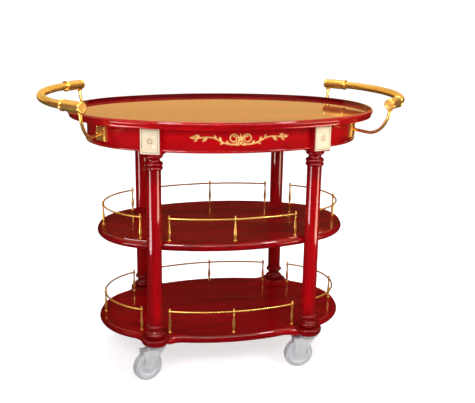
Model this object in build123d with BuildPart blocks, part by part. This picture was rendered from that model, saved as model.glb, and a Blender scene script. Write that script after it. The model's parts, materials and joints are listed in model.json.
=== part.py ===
from math import acos, asin, atan2, cos, degrees, radians, sin, sqrt
import os

from build123d import *

# Three-tier oval trolley in lacquered wood with gilt fittings.
# Millimetres, +Z up, floor at Z = 0, long axis along X, front towards -Y.

# Casters
wheel_radius = 45.0
wheel_width = 27.0
wheel_side_gap = 1.5
tyre_thickness = 11.0
tyre_shoulder = 7.0
core_rim = 5.0
core_rim_inset = 1.5
core_web = 10.0
hub_radius = 12.0
trail = 28.0
fork_sheet = 2.5
fork_eye_radius = 11.0
fork_heel = 8.0
crown_gap = 5.0
crown_thickness = 3.5
crown_radius = 23.0
crown_lead = 20.0
axle_radius = 4.0
axle_head_radius = 7.0
axle_head = 3.0
running_fit = 0.05
end_play = 0.3
race_radius = 20.0
race_height = 6.2
kingpin_radius = 5.0
kingpin_head_radius = 8.0
kingpin_head = 4.5
plate_size = 56.0
plate_thickness = 3.0
plate_corner = 6.0
plate_screw_inset = 10.5
plate_screw_in_leg = 15.0

# Directions that the casters trail in, degrees from +X
heading_front_left = 203.0
heading_front_right = 182.0
heading_back_left = 194.0
heading_back_right = 180.0

# Rises of the wooden body, from the casters upwards
shelf_thickness = 26.0
shelf_spacing = 296.0
top_spacing = 270.0
block_drop = 8.0
apron_height = 74.0
top_board_thickness = 12.0
rim_rise = 11.0
handle_rise = 38.0

# Plan of the shelves: a four-centre oval whose long sides bow out past the end circles
shelf_half_length = 401.0
shelf_half_width = 251.0
shelf_side_bow = 46.0
shelf_edge_width = 34.0
shelf_edge_step = 6.0
shelf_edge_step_depth = 2.5

# Apron and top, outwards from the shelves
apron_end_reach = 22.0
apron_side_reach = 33.0
apron_thickness = 18.0
apron_bead_height = 8.0
apron_bead_reach = 5.0
apron_cornice_height = 8.0
apron_cornice_reach = 4.0
rim_overhang = 58.0
rim_width = 9.0
rim_flat = 3.5
rim_shoulder_drop = 3.0
rim_nosing_height = 10.0
rim_nosing_step = 2.0
rim_foot_width = 4.0

# Legs
leg_setback = 160.0
leg_notch = 7.0
shaft_radius = 22.0
block_size = 64.0
block_edge = 2.0
pad_radius = 43.0
pad_rounding = 4.0
pad_bowl = 13.0
pad_bowl_height = 17.0
ear_radius = 55.0
ear_width = 24.0
ear_overlap = 0.5
ring_bulge = 5.4
foot_ring_bulge = 7.0
neck_depth = 3.0
foot_ring_height = 17.0
base_neck_height = 13.0
base_ring_height = 12.0
capital_ring_height = 12.0
capital_neck_height = 11.0

# Shelf dowels
dowel_radius = 5.0
dowel_in_leg = 12.0
dowel_in_shelf = 40.0

# Galleries
gallery_inset = 20.0
side_rail_break = 36.0
end_rail_break = 54.0
rail_radius = 2.75
rail_rise = 71.0
post_base_radius = 5.5
post_base_height = 3.0
post_belly_radius = 4.6
post_belly_rise = 20.0
post_neck_radius = 2.6
post_cup_height = 3.75
post_collar_radius = 4.4
post_collar_height = 7.5
post_ball_radius = 3.8

# Handles, from the rim outwards
sleeve_setback = 47.0
sleeve_inset = 46.0
handle_gap = 75.0
handle_angle = 50.0
handle_bend_radius = 200.0
tube_radius = 12.0
tube_wall = 1.5
tube_in_sleeve = 40.0
sleeve_wall = 4.0
sleeve_length = 84.0
sleeve_crown = 3.0
sleeve_ring_rise = 1.5
sleeve_ring_length = 5.0

# Handle brackets
bracket_normal = 35.0
bracket_rise = 40.0
bracket_width = 44.0
bracket_height = 47.0
bracket_depth = 9.0
bracket_edge = 2.0
bracket_screw_inset = 6.0
bracket_screw_in_apron = 11.0
arm_radius = 4.75
arm_rise_radius = 90.0
arm_from_sleeve_end = 12.0
arm_foot_radius = 9.0
arm_foot_taper = 20.0
screw_radius = 2.0
screw_head_radius = 4.0
screw_head_height = 2.0
screw_head_taper = 30.0

# Gilt mounts
plaque_margin = 4.0
plaque_base = 2.5
plaque_border = 5.0
plaque_border_rise = 2.5
plaque_corner = 3.0
rosette_petals = 8
rosette_petal_radius = 5.0
rosette_ring = 10.0
rosette_petal_rise = 1.3
rosette_eye_radius = 5.0
rosette_eye_rise = 2.5
scroll_depth = 4.0
stem_width = 3.2
volute_centre = 17.0
volute_radius = 13.0
volute_shrink = 0.68
volute_half_turns = 4
stem_rise_radius = 84.0
stem_rise_turn = 30.0
stem_fall_radius = 74.0
stem_fall_turn = 44.0
side_leaf = 19.0
side_leaf_spread = 42.0
palmette_leaf = 30.0
palmette_leaves = 3
palmette_spread = 30.0
palmette_shrink = 0.8
leaf_fullness = 0.17

# Heights that follow
crown_low = 2 * wheel_radius + crown_gap
crown_high = crown_low + crown_thickness
plate_under = crown_high + end_play + race_height
bottom_shelf_under = plate_under + plate_thickness
bottom_shelf_top = bottom_shelf_under + shelf_thickness
middle_shelf_top = bottom_shelf_top + shelf_spacing
middle_shelf_under = middle_shelf_top - shelf_thickness
block_bottom = middle_shelf_top + top_spacing
apron_bottom = block_bottom + block_drop
apron_top = apron_bottom + apron_height
tray_floor_top = apron_top + top_board_thickness
rim_top = tray_floor_top + rim_rise
handle_height = rim_top + handle_rise
rail_height = rail_rise - rail_radius

# Sizes that follow
leg_half_spacing = shelf_half_length - leg_setback
fork_gap = wheel_width + 2 * wheel_side_gap
core_radius = wheel_radius - tyre_thickness
sleeve_radius = tube_radius + sleeve_wall
plate_screw_spacing = plate_size - 2 * plate_screw_inset
bracket_screw_spacing = bracket_width - 2 * bracket_screw_inset
bracket_screw_length = bracket_depth + bracket_screw_in_apron

os.makedirs("parts", exist_ok=True)


class Oval:
    # Four tangent arcs: two ends and two long sides, with shared centres when it grows.

    def __init__(self, half_length, half_width, end_radius):
        self.half_length = half_length
        self.half_width = half_width
        self.end_radius = end_radius
        self.end_centre = half_length - end_radius
        self.side_radius = (self.end_centre**2 + half_width**2 - end_radius**2) / (
            2 * (half_width - end_radius)
        )
        self.side_centre = self.side_radius - half_width
        self.end_turn = degrees(atan2(self.side_centre, self.end_centre))

    def grown(self, by):
        return Oval(self.half_length + by, self.half_width + by, self.end_radius + by)

    def arcs(self, start=0.0, stop=360.0):
        # Arcs between two directions of the outward normal, degrees from +X
        turn = self.end_turn
        spans = []
        for lap in (-360, 0, 360):
            spans.append(((self.end_centre, 0), self.end_radius, lap - turn, lap + turn))
            spans.append(((0, -self.side_centre), self.side_radius, lap + turn, lap + 180 - turn))
            spans.append(((-self.end_centre, 0), self.end_radius, lap + 180 - turn, lap + 180 + turn))
            spans.append(((0, self.side_centre), self.side_radius, lap + 180 + turn, lap + 360 - turn))
        found = []
        for centre, radius, first, last in spans:
            low = max(first, start)
            high = min(last, stop)
            if high - low > 1e-6:
                found.append((centre, radius, low, high - low))
        return found

    def point(self, direction):
        centre, radius, first, size = self.arcs(direction - 0.01, direction + 0.01)[0]
        return (
            centre[0] + radius * cos(radians(direction)),
            centre[1] + radius * sin(radians(direction)),
        )

    def draw(self):
        for centre, radius, first, size in self.arcs():
            CenterArc(centre, radius, first, size)


def spin_round(oval, profile, start=0.0, stop=360.0, mode=Mode.ADD):
    # Carries a profile, drawn outwards from the oval and upwards, along the oval
    for centre, radius, first, size in oval.arcs(start, stop):
        out = Vector(cos(radians(first)), sin(radians(first)), 0)
        foot = Vector(centre[0], centre[1], 0) + out * radius
        with BuildSketch(Plane(origin=foot, x_dir=out, z_dir=out.cross(Vector(0, 0, 1)))) as section:
            with BuildLine():
                profile()
            make_face()
        pivot = Axis((centre[0], centre[1], 0), (0, 0, 1))
        revolve(section.sketch, axis=pivot, revolution_arc=size, mode=mode)


def round_corner(start, stop, corner):
    # One arc between two points, bulging towards the corner of their tangents
    middle = (Vector(start) + Vector(stop) + Vector(corner)) / 3
    ThreePointArc(start, middle, stop)


def finish(builder, name):
    builder.part.label = name
    export_step(builder.part, "parts/" + name + ".step")


shelf_oval = Oval(shelf_half_length, shelf_half_width, shelf_half_width - shelf_side_bow)
apron_oval = Oval(
    shelf_oval.half_length + apron_end_reach,
    shelf_oval.half_width + apron_side_reach,
    shelf_oval.end_radius + apron_side_reach,
)
rim_oval = apron_oval.grown(rim_overhang)
gallery_oval = shelf_oval.grown(-gallery_inset)

# Direction of the outward normal at the back right leg, and the leg's place
leg_oval = shelf_oval.grown(shaft_radius - leg_notch)
leg_normal = degrees(acos(leg_half_spacing / leg_oval.side_radius))
leg_x, leg_y = leg_oval.point(leg_normal)

corners = {
    "front_left": (-1, -1, heading_front_left),
    "front_right": (1, -1, heading_front_right),
    "back_left": (-1, 1, heading_back_left),
    "back_right": (1, 1, heading_back_right),
}


def corner_normal(side_x, side_y):
    return Vector(side_x * cos(radians(leg_normal)), side_y * sin(radians(leg_normal)), 0)


def block_plane(side_x, side_y, height):
    # Plan plane at a leg, with its X axis along the outward normal
    return Plane(
        origin=(side_x * leg_x, side_y * leg_y, height),
        x_dir=corner_normal(side_x, side_y),
        z_dir=(0, 0, 1),
    )


# Bracket plates and scrolls stand between the apron's bead and its cornice
bracket_middle = apron_bottom + bracket_rise
bracket_low = bracket_middle - bracket_height / 2


def bracket_plane(side_x, side_y):
    # On the apron's face at a bracket, with Z along the outward normal
    foot = apron_oval.point(bracket_normal)
    out = Vector(side_x * cos(radians(bracket_normal)), side_y * sin(radians(bracket_normal)), 0)
    return Plane(
        origin=(side_x * foot[0], side_y * foot[1], bracket_middle),
        x_dir=(-out.Y, out.X, 0),
        z_dir=out,
    )


def cut_bracket_screws():
    for side_x, side_y, heading in corners.values():
        with BuildSketch(bracket_plane(side_x, side_y).offset(bracket_depth)) as holes:
            with GridLocations(bracket_screw_spacing, 0, 2, 1):
                Circle(screw_radius)
        extrude(holes.sketch, amount=-bracket_screw_length, mode=Mode.SUBTRACT)


def cut_leg_blocks():
    for side_x, side_y, heading in corners.values():
        with BuildSketch(block_plane(side_x, side_y, block_bottom)) as block:
            Rectangle(block_size, block_size)
        extrude(block.sketch, amount=apron_top - block_bottom, mode=Mode.SUBTRACT)


def cut_leg_rounds(radius, low, high):
    for side_x, side_y, heading in corners.values():
        with BuildSketch(block_plane(side_x, side_y, low)) as leg_round:
            Circle(radius)
        extrude(leg_round.sketch, amount=high - low, mode=Mode.SUBTRACT)


# Tray floor
tray_oval = rim_oval.grown(-rim_width)
with BuildPart() as top_board:
    with BuildSketch(Plane.XY.offset(apron_top)):
        with BuildLine():
            tray_oval.draw()
        make_face()
    extrude(amount=tray_floor_top - apron_top)
finish(top_board, "top_board")


# Raised rim round the board: flat crest, rounded shoulder, nosing and a cove under it
def rim_profile():
    nosing_top = rim_top - rim_shoulder_drop
    nosing_bottom = nosing_top - rim_nosing_height
    crest_end = (rim_flat - rim_width, rim_top)
    nosing_start = (-rim_nosing_step, nosing_top)
    nosing_end = (-rim_nosing_step, nosing_bottom)
    foot_end = (rim_foot_width - rim_width, apron_top)
    Polyline(foot_end, (-rim_width, apron_top), (-rim_width, rim_top), crest_end)
    round_corner(crest_end, nosing_start, (-rim_nosing_step, rim_top))
    ThreePointArc(nosing_start, (0, (nosing_top + nosing_bottom) / 2), nosing_end)
    round_corner(nosing_end, foot_end, (rim_foot_width - rim_width, nosing_bottom))


with BuildPart() as top_rim:
    spin_round(rim_oval, rim_profile)
finish(top_rim, "top_rim")


# Apron hoop with a small cornice along its top, in four stretches between the leg blocks
def apron_profile():
    cornice_bottom = apron_top - apron_cornice_height
    Polyline(
        (0, apron_top),
        (-apron_thickness, apron_top),
        (-apron_thickness, apron_bottom),
        (0, apron_bottom),
        (0, cornice_bottom),
    )
    cornice_middle = (apron_cornice_reach, apron_top - apron_cornice_height / 2)
    ThreePointArc((0, cornice_bottom), cornice_middle, (0, apron_top))


with BuildPart() as apron:
    spin_round(apron_oval, apron_profile)
    cut_leg_blocks()
    cut_bracket_screws()
finish(apron, "apron")


# Bead along the apron's lower edge
def bead_profile():
    bead_top = apron_bottom + apron_bead_height
    ThreePointArc((0, apron_bottom), (apron_bead_reach, (apron_bottom + bead_top) / 2), (0, bead_top))
    Line((0, bead_top), (0, apron_bottom))


with BuildPart() as apron_bead:
    spin_round(apron_oval, bead_profile)
    cut_leg_blocks()
finish(apron_bead, "apron_bead")


# Moulded shelf edges, notched round the legs
def edge_profile(under, top, width):
    def draw():
        step_in = -shelf_edge_step
        step_top = top - shelf_edge_step_depth
        back = -width
        Polyline((step_in, step_top), (step_in, top), (back, top), (back, under), (step_in, under))
        ThreePointArc((step_in, under), (0, (under + step_top) / 2), (step_in, step_top))

    return draw


# Radius of the legs where each shelf meets them
shelf_levels = {
    "middle_shelf": (middle_shelf_under, middle_shelf_top, shaft_radius),
    "bottom_shelf": (bottom_shelf_under, bottom_shelf_top, pad_radius),
}


def dowel_plane(side_x, side_y, under, leg_radius):
    # Starts inside the leg and points into the shelf
    normal = corner_normal(side_x, side_y)
    leg = Vector(side_x * leg_x, side_y * leg_y, under + shelf_thickness / 2)
    return Plane(origin=leg - normal * (leg_radius - dowel_in_leg), x_dir=(0, 0, 1), z_dir=normal * -1)


def cut_dowel_holes(under, leg_radius):
    for side_x, side_y, heading in corners.values():
        with BuildSketch(dowel_plane(side_x, side_y, under, leg_radius)) as hole:
            Circle(dowel_radius)
        extrude(hole.sketch, amount=dowel_in_leg + dowel_in_shelf, mode=Mode.SUBTRACT)


def shelf_board(under, top, leg_radius):
    with BuildPart() as board:
        with BuildSketch(Plane.XY.offset(under)):
            with BuildLine():
                shelf_oval.grown(-shelf_edge_width).draw()
            make_face()
        extrude(amount=top - under)
        cut_dowel_holes(under, leg_radius)
    return board


# Concave ears that carry the shelf's edge out to the pad of each leg
def spin_ears(profile):
    for side_x, side_y, heading in corners.values():
        leg = Vector(side_x * leg_x, side_y * leg_y, 0)
        end_hub = Vector(side_x * shelf_oval.end_centre, 0, 0)
        side_hub = Vector(0, -side_y * shelf_oval.side_centre, 0)
        for hub, radius, way in ((end_hub, shelf_oval.end_radius, -1), (side_hub, shelf_oval.side_radius, 1)):
            pivot = ear_centre(hub, radius, leg, way * side_x * side_y)
            out = (pivot - hub).normalized()
            to_leg = leg - pivot
            turn = degrees(atan2(out.Y * to_leg.X - out.X * to_leg.Y, -out.dot(to_leg)))
            foot = pivot - out * ear_radius
            with BuildSketch(Plane(origin=foot, x_dir=out, z_dir=out.cross(Vector(0, 0, 1)))) as section:
                with BuildLine():
                    profile()
                make_face()
            spindle = Axis(pivot, (0, 0, 1 if turn > 0 else -1))
            revolve(section.sketch, axis=spindle, revolution_arc=abs(turn))


def ear_centre(hub, radius, leg, way):
    # Where a round of the ear's radius meets both the shelf's edge and the pad
    reach = radius + ear_radius - ear_overlap
    pad_reach = pad_radius + ear_radius - ear_overlap
    line = leg - hub
    along = (reach**2 - pad_reach**2 + line.length**2) / (2 * line.length)
    across = sqrt(reach**2 - along**2)
    ahead = line.normalized()
    return hub + ahead * along + Vector(-ahead.Y, ahead.X, 0) * (way * across)


def shelf_edge(under, top, leg_radius):
    with BuildPart() as edge:
        spin_round(shelf_oval, edge_profile(under, top, shelf_edge_width))
        if leg_radius > shaft_radius:
            spin_ears(edge_profile(under, top, ear_width))
        cut_leg_rounds(leg_radius, under, top)
        cut_dowel_holes(under, leg_radius)
    return edge


for shelf, (under, top, leg_radius) in shelf_levels.items():
    finish(shelf_board(under, top, leg_radius), shelf)
    finish(shelf_edge(under, top, leg_radius), shelf + "_edge")

with BuildPart() as shelf_dowels:
    for under, top, leg_radius in shelf_levels.values():
        for side_x, side_y, heading in corners.values():
            with BuildSketch(dowel_plane(side_x, side_y, under, leg_radius)):
                Circle(dowel_radius)
            extrude(amount=dowel_in_leg + dowel_in_shelf)
finish(shelf_dowels, "shelf_dowels")


# Turned legs: pad, base rings, shaft, ring capital, square block
def leg_profile():
    band_low = bottom_shelf_under + pad_bowl_height
    band_high = bottom_shelf_top - pad_rounding
    base_low = bottom_shelf_top
    base_high = base_low + foot_ring_height
    collar_low = base_high + base_neck_height
    collar_high = collar_low + base_ring_height
    head_high = block_bottom
    head_low = head_high - capital_ring_height
    upper_high = head_low - capital_neck_height
    upper_low = upper_high - capital_ring_height
    lower_low = upper_low - capital_ring_height
    pad_under = (pad_radius - pad_bowl, bottom_shelf_under)
    pad_over = (pad_radius - pad_rounding, bottom_shelf_top)
    Polyline((0, block_bottom), (0, bottom_shelf_under), pad_under)
    round_corner(pad_under, (pad_radius, band_low), (pad_radius, bottom_shelf_under))
    Line((pad_radius, band_low), (pad_radius, band_high))
    round_corner((pad_radius, band_high), pad_over, (pad_radius, bottom_shelf_top))
    Line(pad_over, (shaft_radius, base_low))
    ring_arc(base_low, base_high, foot_ring_bulge)
    neck_arc(base_high, collar_low)
    ring_arc(collar_low, collar_high)
    Line((shaft_radius, collar_high), (shaft_radius, lower_low))
    ring_arc(lower_low, upper_low)
    ring_arc(upper_low, upper_high)
    neck_arc(upper_high, head_low)
    ring_arc(head_low, head_high)
    Line((shaft_radius, head_high), (0, head_high))


def bulge_arc(radius, low, high):
    ThreePointArc((shaft_radius, low), (radius, (low + high) / 2), (shaft_radius, high))


def ring_arc(low, high, bulge=ring_bulge):
    bulge_arc(shaft_radius + bulge, low, high)


def neck_arc(low, high):
    bulge_arc(shaft_radius - neck_depth, low, high)


def make_leg(side_x, side_y):
    foot = (side_x * leg_x, side_y * leg_y, 0)
    with BuildPart() as leg:
        with BuildSketch(Plane(origin=foot, x_dir=(1, 0, 0), z_dir=(0, -1, 0))):
            with BuildLine():
                leg_profile()
            make_face()
        revolve(axis=Axis(foot, (0, 0, 1)))
        with BuildSketch(block_plane(side_x, side_y, block_bottom)):
            RectangleRounded(block_size, block_size, block_edge)
        extrude(amount=apron_top - block_bottom)
        for under, top, leg_radius in shelf_levels.values():
            with BuildSketch(dowel_plane(side_x, side_y, under, leg_radius)):
                Circle(dowel_radius)
            extrude(amount=dowel_in_leg + dowel_in_shelf, mode=Mode.SUBTRACT)
        with BuildSketch(Plane(origin=(foot[0], foot[1], bottom_shelf_under))):
            with GridLocations(plate_screw_spacing, plate_screw_spacing, 2, 2):
                Circle(screw_radius)
        extrude(amount=plate_screw_in_leg, mode=Mode.SUBTRACT)
    return leg


for corner, (side_x, side_y, heading) in corners.items():
    finish(make_leg(side_x, side_y), "leg_" + corner)

# Gallery rails and posts
end_start = leg_normal - degrees(end_rail_break / gallery_oval.side_radius)
side_start = leg_normal + degrees(side_rail_break / gallery_oval.side_radius)
rail_spans = {
    "right": (-end_start, end_start),
    "back": (side_start, 180 - side_start),
    "left": (180 - end_start, 180 + end_start),
    "front": (180 + side_start, 360 - side_start),
}


def rail_profile(shelf_top):
    def draw():
        CenterArc((0, shelf_top + rail_height), rail_radius, 0, 360)

    return draw


# A turned post: foot, belly, slim neck, collar that takes the rail, ball on top
def post_profile():
    collar_low = rail_height - post_collar_height / 2
    collar_high = rail_height + post_collar_height / 2
    neck_top = collar_low - post_cup_height
    ball_centre = collar_high + sqrt(post_ball_radius**2 - post_neck_radius**2)
    ball_top = ball_centre + post_ball_radius
    Polyline(
        (0, 0),
        (post_base_radius, 0),
        (post_base_radius, post_base_height),
        (post_neck_radius, post_base_height),
    )
    Spline(
        (post_neck_radius, post_base_height),
        (post_belly_radius, post_belly_rise),
        (post_neck_radius, neck_top),
    )
    Polyline(
        (post_neck_radius, neck_top),
        (post_collar_radius, collar_low),
        (post_collar_radius, collar_high),
        (post_neck_radius, collar_high),
    )
    ThreePointArc((post_neck_radius, collar_high), (post_ball_radius, ball_centre), (0, ball_top))
    Line((0, ball_top), (0, 0))


def make_rail(shelf_top, span):
    with BuildPart() as rail:
        spin_round(gallery_oval, rail_profile(shelf_top), span[0], span[1])
    return rail


def make_posts(shelf_top):
    with BuildPart() as posts:
        for first, last in rail_spans.values():
            for direction in (first, (first + last) / 2, last):
                spot = gallery_oval.point(direction)
                foot = (spot[0], spot[1], shelf_top)
                with BuildSketch(Plane(origin=foot, x_dir=(1, 0, 0), z_dir=(0, -1, 0))):
                    with BuildLine():
                        post_profile()
                    make_face()
                revolve(axis=Axis(foot, (0, 0, 1)))
        for first, last in rail_spans.values():
            spin_round(gallery_oval, rail_profile(shelf_top), first, last, Mode.SUBTRACT)
    return posts


for shelf, shelf_top in (("middle", middle_shelf_top), ("bottom", bottom_shelf_top)):
    for side, span in rail_spans.items():
        finish(make_rail(shelf_top, span), shelf + "_rail_" + side)
    finish(make_posts(shelf_top), shelf + "_gallery_posts")

# Bow handle of the right end: straight into each sleeve, a bend, and a long bow
sleeve_axis = Vector(cos(radians(handle_angle)), -sin(radians(handle_angle)), 0)
sleeve_end = Vector(
    rim_oval.half_length - sleeve_setback,
    rim_oval.half_width - sleeve_inset,
    handle_height,
)
sleeve_mouth = sleeve_end + sleeve_axis * sleeve_length
tube_start = sleeve_mouth - sleeve_axis * tube_in_sleeve
bend_x = sleeve_mouth.X - handle_bend_radius * sin(radians(handle_angle))
bend_y = sleeve_mouth.Y - handle_bend_radius * cos(radians(handle_angle))
bend_back = bend_x - rim_oval.half_length - handle_gap
bow_radius = (handle_bend_radius**2 - bend_back**2 - bend_y**2) / (2 * (bend_back + handle_bend_radius))
bow_half_turn = degrees(asin(bend_y / (bow_radius - handle_bend_radius)))
bend_turn = 90 - handle_angle - bow_half_turn

with BuildPart() as handle_right:
    with BuildLine() as bow:
        back_run = Line(tube_start, sleeve_mouth)
        back_bend = JernArc(back_run @ 1, back_run % 1, handle_bend_radius, -bend_turn)
        middle = JernArc(back_bend @ 1, back_bend % 1, bow_radius, -2 * bow_half_turn)
        front_bend = JernArc(middle @ 1, middle % 1, handle_bend_radius, -bend_turn)
        Line(front_bend @ 1, Vector(tube_start.X, -tube_start.Y, tube_start.Z))
    with BuildSketch(Plane(origin=tube_start, x_dir=(0, 0, 1), z_dir=sleeve_axis)):
        Circle(tube_radius)
        Circle(tube_radius - tube_wall, mode=Mode.SUBTRACT)
    sweep(path=bow.wire())
finish(handle_right, "handle_right")

with BuildPart() as handle_left:
    mirror(handle_right.part, about=Plane.YZ)
finish(handle_left, "handle_left")


def sleeve_plane(side_x, side_y):
    return Plane(
        origin=(side_x * sleeve_end.X, side_y * sleeve_end.Y, sleeve_end.Z),
        x_dir=(0, 0, 1),
        z_dir=(side_x * sleeve_axis.X, side_y * sleeve_axis.Y, 0),
    )


# Sleeve: closed crown at the inner end, ring and bore at the mouth
def make_sleeves(side_x):
    with BuildPart() as sleeves:
        for side_y in (-1, 1):
            plane = sleeve_plane(side_x, side_y)
            with BuildSketch(Plane(origin=plane.origin, x_dir=plane.x_dir, z_dir=plane.y_dir * -1)):
                with BuildLine():
                    Polyline((0, sleeve_length), (0, 0), (sleeve_radius - sleeve_crown, 0))
                    round_corner(
                        (sleeve_radius - sleeve_crown, 0),
                        (sleeve_radius, sleeve_crown),
                        (sleeve_radius, 0),
                    )
                    Polyline(
                        (sleeve_radius, sleeve_crown),
                        (sleeve_radius, sleeve_length - sleeve_ring_length),
                        (sleeve_radius + sleeve_ring_rise, sleeve_length - sleeve_ring_length),
                        (sleeve_radius + sleeve_ring_rise, sleeve_length),
                        (0, sleeve_length),
                    )
                make_face()
            revolve(axis=Axis(plane.origin, plane.z_dir))
            with BuildSketch(plane.offset(sleeve_length - tube_in_sleeve)):
                Circle(tube_radius)
            extrude(amount=tube_in_sleeve, mode=Mode.SUBTRACT)
    return sleeves


finish(make_sleeves(-1), "handle_left_sleeves")
finish(make_sleeves(1), "handle_right_sleeves")

# Handle brackets: a plate on the apron's end and an arm that sweeps up under the sleeve
plate_plane = bracket_plane(1, 1)
arm_top = sleeve_end + sleeve_axis * arm_from_sleeve_end
arm_foot = plate_plane.origin + plate_plane.z_dir * (bracket_depth / 2)
arm_flat = Vector(arm_top.X - arm_foot.X, arm_top.Y - arm_foot.Y, 0)
arm_out = arm_flat.normalized()
arm_plane = Plane(origin=arm_foot, x_dir=arm_out, z_dir=arm_out.cross(Vector(0, 0, 1)))

with BuildPart() as bracket:
    with BuildSketch(plate_plane.offset(-bracket_depth)):
        RectangleRounded(bracket_width, bracket_height, bracket_edge)
    extrude(amount=2 * bracket_depth)
    with BuildSketch(Plane.XY.offset(bracket_low)):
        with Locations((apron_oval.end_centre, 0)):
            Circle(apron_oval.end_radius)
    extrude(amount=bracket_height, mode=Mode.SUBTRACT)
    with BuildSketch(plate_plane.offset(bracket_depth)):
        Circle(arm_foot_radius)
    extrude(amount=arm_radius, taper=arm_foot_taper)
    with BuildLine(arm_plane) as sweep_up:
        flat_run = Line((0, 0), (arm_flat.length - arm_rise_radius, 0))
        rise = JernArc(flat_run @ 1, flat_run % 1, arm_rise_radius, 90)
        Line(rise @ 1, arm_top)
    with BuildSketch(Plane(origin=arm_foot, x_dir=(0, 0, 1), z_dir=arm_out)):
        Circle(arm_radius)
    sweep(path=sweep_up.wire())
    with BuildSketch(sleeve_plane(1, 1)):
        Circle(sleeve_radius)
    extrude(amount=sleeve_length, mode=Mode.SUBTRACT)
    cut_bracket_screws()
finish(bracket, "handle_bracket_back_right")

with BuildPart() as bracket_back_left:
    mirror(bracket.part, about=Plane.YZ)
finish(bracket_back_left, "handle_bracket_back_left")

with BuildPart() as bracket_front_right:
    mirror(bracket.part, about=Plane.XZ)
finish(bracket_front_right, "handle_bracket_front_right")

with BuildPart() as bracket_front_left:
    mirror(bracket_back_left.part, about=Plane.XZ)
finish(bracket_front_left, "handle_bracket_front_left")

with BuildPart() as bracket_screws:
    for side_x, side_y, heading in corners.values():
        screw_seat = bracket_plane(side_x, side_y).offset(bracket_depth)
        with BuildSketch(screw_seat):
            with GridLocations(bracket_screw_spacing, 0, 2, 1):
                Circle(screw_radius)
        extrude(amount=-bracket_screw_length)
        with BuildSketch(screw_seat):
            with GridLocations(bracket_screw_spacing, 0, 2, 1):
                Circle(screw_head_radius)
        extrude(amount=screw_head_height, taper=screw_head_taper)
finish(bracket_screws, "bracket_screws")


# Plaque on a leg block: base, raised border and a rosette
def make_plaque(side_x, side_y):
    normal = corner_normal(side_x, side_y)
    centre = Vector(side_x * leg_x, side_y * leg_y, (block_bottom + apron_top) / 2)
    face = Plane(origin=centre + normal * (block_size / 2), x_dir=(-normal.Y, normal.X, 0), z_dir=normal)
    width = block_size - 2 * plaque_margin
    height = apron_top - block_bottom - 2 * plaque_margin
    with BuildPart() as plaque:
        with BuildSketch(face):
            RectangleRounded(width, height, plaque_corner)
        extrude(amount=plaque_base)
        with BuildSketch(face.offset(plaque_base)):
            RectangleRounded(width, height, plaque_corner)
            offset(amount=-plaque_border, mode=Mode.SUBTRACT)
        extrude(amount=plaque_border_rise)
        with BuildSketch(face.offset(plaque_base)):
            with PolarLocations(rosette_ring, rosette_petals):
                Circle(rosette_petal_radius)
            Circle(rosette_ring)
        extrude(amount=rosette_petal_rise)
        with BuildSketch(face.offset(plaque_base)):
            Circle(rosette_eye_radius)
        extrude(amount=rosette_eye_rise)
    return plaque


for corner, (side_x, side_y, heading) in corners.items():
    finish(make_plaque(side_x, side_y), "plaque_" + corner)


# Scroll on the long side of the apron: palmette, volutes, and leafy stems towards both ends
def draw_leaf(base, angle, length):
    along = Vector(cos(radians(angle)), sin(radians(angle)))
    across = Vector(-along.Y, along.X) * (length * leaf_fullness)
    tip = base + along * length
    middle = base + along * (length / 2)
    ThreePointArc(base, middle + across, tip)
    ThreePointArc(tip, middle - across, base)


scroll_face = Plane(
    origin=(0, -apron_oval.half_width, bracket_middle),
    x_dir=(1, 0, 0),
    z_dir=(0, -1, 0),
)
with BuildPart() as scroll_front:
    with BuildSketch(scroll_face):
        with BuildLine():
            start = Vector(volute_centre, -volute_radius)
            turn = JernArc(start, (-1, 0), volute_radius, -180)
            for count in range(1, volute_half_turns):
                turn = JernArc(turn @ 1, turn % 1, volute_radius * volute_shrink**count, -180)
        trace(line_width=stem_width)
        with BuildLine():
            stem_rise = JernArc(start, (1, 0), stem_rise_radius, stem_rise_turn)
            stem_fall = JernArc(stem_rise @ 1, stem_rise % 1, stem_fall_radius, -stem_fall_turn)
        trace(line_width=stem_width)
        # Places along the two curves of the stem, and the side that each leaf springs from
        stem_leaves = (
            (stem_rise, 0.35, -1),
            (stem_rise, 0.8, 1),
            (stem_fall, 0.1, -1),
            (stem_fall, 0.5, 1),
            (stem_fall, 0.6, -1),
            (stem_fall, 0.95, 0),
        )
        palmette_base = Vector(0, -volute_radius)
        sprays = [(start, 180, volute_centre)]
        for count in range(palmette_leaves):
            angle = 90 - count * palmette_spread
            sprays.append((palmette_base, angle, palmette_leaf * palmette_shrink**count))
        for curve, place, side in stem_leaves:
            along = curve % place
            angle = degrees(atan2(along.Y, along.X)) + side * side_leaf_spread
            sprays.append((curve @ place, angle, side_leaf))
        for base, angle, length in sprays:
            with BuildLine():
                draw_leaf(base, angle, length)
            make_face()
        mirror(about=Plane.YZ)
    extrude(amount=apron_thickness, both=True)
    with BuildSketch(Plane.XY.offset(bracket_low)):
        with Locations((0, apron_oval.side_centre)):
            Circle(apron_oval.side_radius + scroll_depth)
            Circle(apron_oval.side_radius, mode=Mode.SUBTRACT)
    extrude(amount=bracket_height, mode=Mode.INTERSECT)
finish(scroll_front, "scroll_front")

with BuildPart() as scroll_back:
    mirror(scroll_front.part, about=Plane.XZ)
finish(scroll_back, "scroll_back")


# Swivel casters under the legs
def caster_frame(side_x, side_y, heading):
    # On the floor under a leg, with X along the direction that the caster trails in
    return Plane(
        origin=(side_x * leg_x, side_y * leg_y, 0),
        x_dir=(cos(radians(heading)), sin(radians(heading)), 0),
        z_dir=(0, 0, 1),
    )


def wheel_plane(frame):
    # At the wheel's centre, with X along the axle and Y upwards
    centre = frame.origin + frame.x_dir * trail + Vector(0, 0, wheel_radius)
    return Plane(origin=centre, x_dir=frame.y_dir, z_dir=frame.x_dir)


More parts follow.
